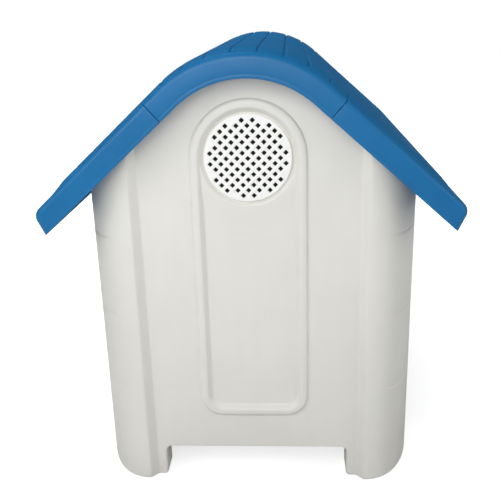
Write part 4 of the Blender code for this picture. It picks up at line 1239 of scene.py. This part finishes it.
def dress_small_parts(looks):
    """CAD nodes whose shape is right keep it, with softened edges and their slot's finish."""
    for name, node in frame["nodes"].items():
        if node.hide_render:
            continue
        node.data.materials.clear()
        node.data.materials.append(looks[SLOTS[name]])
        weld = node.modifiers.new("weld", "WELD")
        weld.merge_threshold = 0.00002
        bevel = node.modifiers.new("edges", "BEVEL")
        bevel.width = TRAY_BEVEL if name == "base_tray" else PART_BEVEL
        bevel.segments = 3
        bevel.limit_method = "ANGLE"
        bevel.angle_limit = math.radians(40)
        bevel.use_clamp_overlap = True


def cross_recess(u, v):
    """Depth, 0 to 1, of a cross recess over a screw head of radius 1."""
    u, v = np.abs(u), np.abs(v)
    arms = [smooth((ARM_REACH - a) / 0.12) * smooth((ARM_HALF - b) / 0.08) for a, b in ((u, v), (v, u))]
    return np.maximum(*arms)


def build_screw(name, axis, head, looks, steps=48):
    """Pan-head screw with a cross recess and a thread, in the place of a CAD screw."""
    low, high = (np.array(corner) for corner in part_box(name))
    axis = np.array(axis, float)
    tip, top = sorted((float(axis @ low), float(axis @ high)))
    radius = (high - low)[np.argmin(np.abs(axis))] / 2
    centre = (low + high) / 2 * (1 - np.abs(axis))
    angle = np.linspace(0, 2 * math.pi, steps, endpoint=False)
    base = top - head
    rings = []
    for r in np.linspace(0, 1, 19):
        dome = HEAD_SIDE + (1 - HEAD_SIDE) * math.sqrt(max(1 - r**4, 0))
        recess = HEAD_RECESS * cross_recess(r * np.cos(angle), r * np.sin(angle))
        rings.append((radius * r, base + head * (dome - recess)))
    rings += [(radius, base), (SHANK_RADIUS, base)]
    for level in np.arange(base - THREAD_PITCH, tip + 2 * THREAD_PITCH, -THREAD_PITCH):
        rings += [(SHANK_RADIUS, level), (SHANK_RADIUS - THREAD_DEPTH, level - THREAD_PITCH / 2)]
    rings += [(SHANK_RADIUS * 0.7, tip + THREAD_PITCH / 2), (0.0, tip)]
    verts = turned_rings(rings, centre, axis, steps)
    piece(name, "body", looks, verts, ring_faces(len(rings), steps, False))


def build_screws(looks):
    for name in TRAY_SCREWS:
        build_screw(name, (0, 0, 1), TRAY_SCREW_HEAD, looks)
    for side, side_name in ((1, "left"), (-1, "right")):
        for end in ("front", "rear"):
            build_screw(f"catch_screw_{end}_{side_name}", (-side, 0, 0), CATCH_SCREW_HEAD, looks)


# ---------------------------------------------------------------- stage, light, camera


def build_floor():
    """Pale floor that the camera sees glowing, more so far from the object."""
    mesh = bpy.data.meshes.new("floor")
    corners = [(x * FLOOR_HALF, y * FLOOR_HALF, 0) for x, y in ((-1, -1), (1, -1), (1, 1), (-1, 1))]
    mesh.from_pydata(corners, [], [(0, 1, 2, 3)])
    floor = add_object("floor", mesh)
    floor.location.z = -0.0005
    material = bpy.data.materials.new("studio_floor")
    n = Nodes(material, "ShaderNodeNewGeometry", "Position")
    far = n.add("ShaderNodeVectorMath", ((0, n.where),), operation="LENGTH").outputs["Value"]
    seen = n.add("ShaderNodeLightPath").outputs["Is Camera Ray"]
    glow = n.math("MULTIPLY", seen, n.remap(far, 0.6, 2.2, FLOOR_GLOW, 1.0))
    n.fill(n.shader, (("Base Color", FLOOR_COLOUR), ("Roughness", 0.9), ("Specular IOR Level", 0.0),
                      ("Emission Color", (1, 1, 1)), ("Emission Strength", glow)))
    mesh.materials.append(material)


def build_world():
    """Soft studio surround: plain white to the camera, bright on the rear's side and dim beyond the front."""
    world = bpy.data.worlds.new("studio")
    n = Nodes(world, "ShaderNodeTexCoord", "Generated")
    seen = n.tree.nodes["Background"]
    n.fill(seen, (("Color", (1, 1, 1)),))
    way = n.part_of_place("Y")
    strength = n.remap(way, -0.45, 0.55, WORLD_DIM, WORLD_LIGHT, interpolation_type="SMOOTHSTEP")
    lit = n.add("ShaderNodeBackground", (("Color", WORLD_COLOUR), ("Strength", strength)))
    camera_ray = n.add("ShaderNodeLightPath").outputs["Is Camera Ray"]
    choice = n.add("ShaderNodeMixShader", ((0, camera_ray), (1, lit.outputs[0]), (2, seen.outputs[0])))
    n.fill(n.tree.nodes["World Output"], (("Surface", choice.outputs[0]),))
    bpy.context.scene.world = world


def build_lights():
    for name, place, target, size, power, mirrored in LIGHTS:
        data = bpy.data.lights.new(name, "AREA")
        data.shape = "SQUARE"
        data.size = size
        data.energy = power
        lamp = add_object(name, data)
        lamp.location = place
        lamp.visible_glossy = mirrored
        lamp.visible_camera = False
        lamp.rotation_euler = (Vector(target) - Vector(place)).to_track_quat("-Z", "Y").to_euler()
    bpy.context.scene.view_settings.view_transform = "Standard"


def build_camera():
    """View of the rear, a little above the eaves and turned slightly."""
    yaw, pitch, roll = CAMERA_YAW, CAMERA_PITCH, CAMERA_ROLL
    forward = Vector((math.sin(yaw) * math.cos(pitch), -math.cos(yaw) * math.cos(pitch), -math.sin(pitch)))
    right = forward.cross(Vector((0, 0, 1))).normalized()
    up = right.cross(forward)
    level = math.cos(roll) * right + math.sin(roll) * up
    top = -math.sin(roll) * right + math.cos(roll) * up
    data = bpy.data.cameras.new("camera")
    data.lens = CAMERA_LENS
    data.sensor_width = CAMERA_SENSOR
    camera = add_object("camera", data)
    turn = Matrix((level, top, -forward)).transposed().to_4x4()
    camera.matrix_world = Matrix.Translation(CAMERA_PLACE) @ turn
    bpy.context.scene.camera = camera


# ---------------------------------------------------------------- build


def build():
    looks = {slot: moulded(slot + "_look", *values) for slot, values in FINISHES.items()}
    build_rear_panel(looks)
    build_front_panel(looks)
    build_side_wall(1, "left_wall", looks)
    build_side_wall(-1, "right_wall", looks)
    build_vent_grille(looks)
    build_shade_screen(looks)
    build_roof_ridge(looks)
    build_roof_side(1, "roof_left", looks)
    build_roof_side(-1, "roof_right", looks)
    build_screws(looks)
    dress_small_parts(looks)
    build_floor()
    build_lights()
    build_world()
    build_camera()


build()
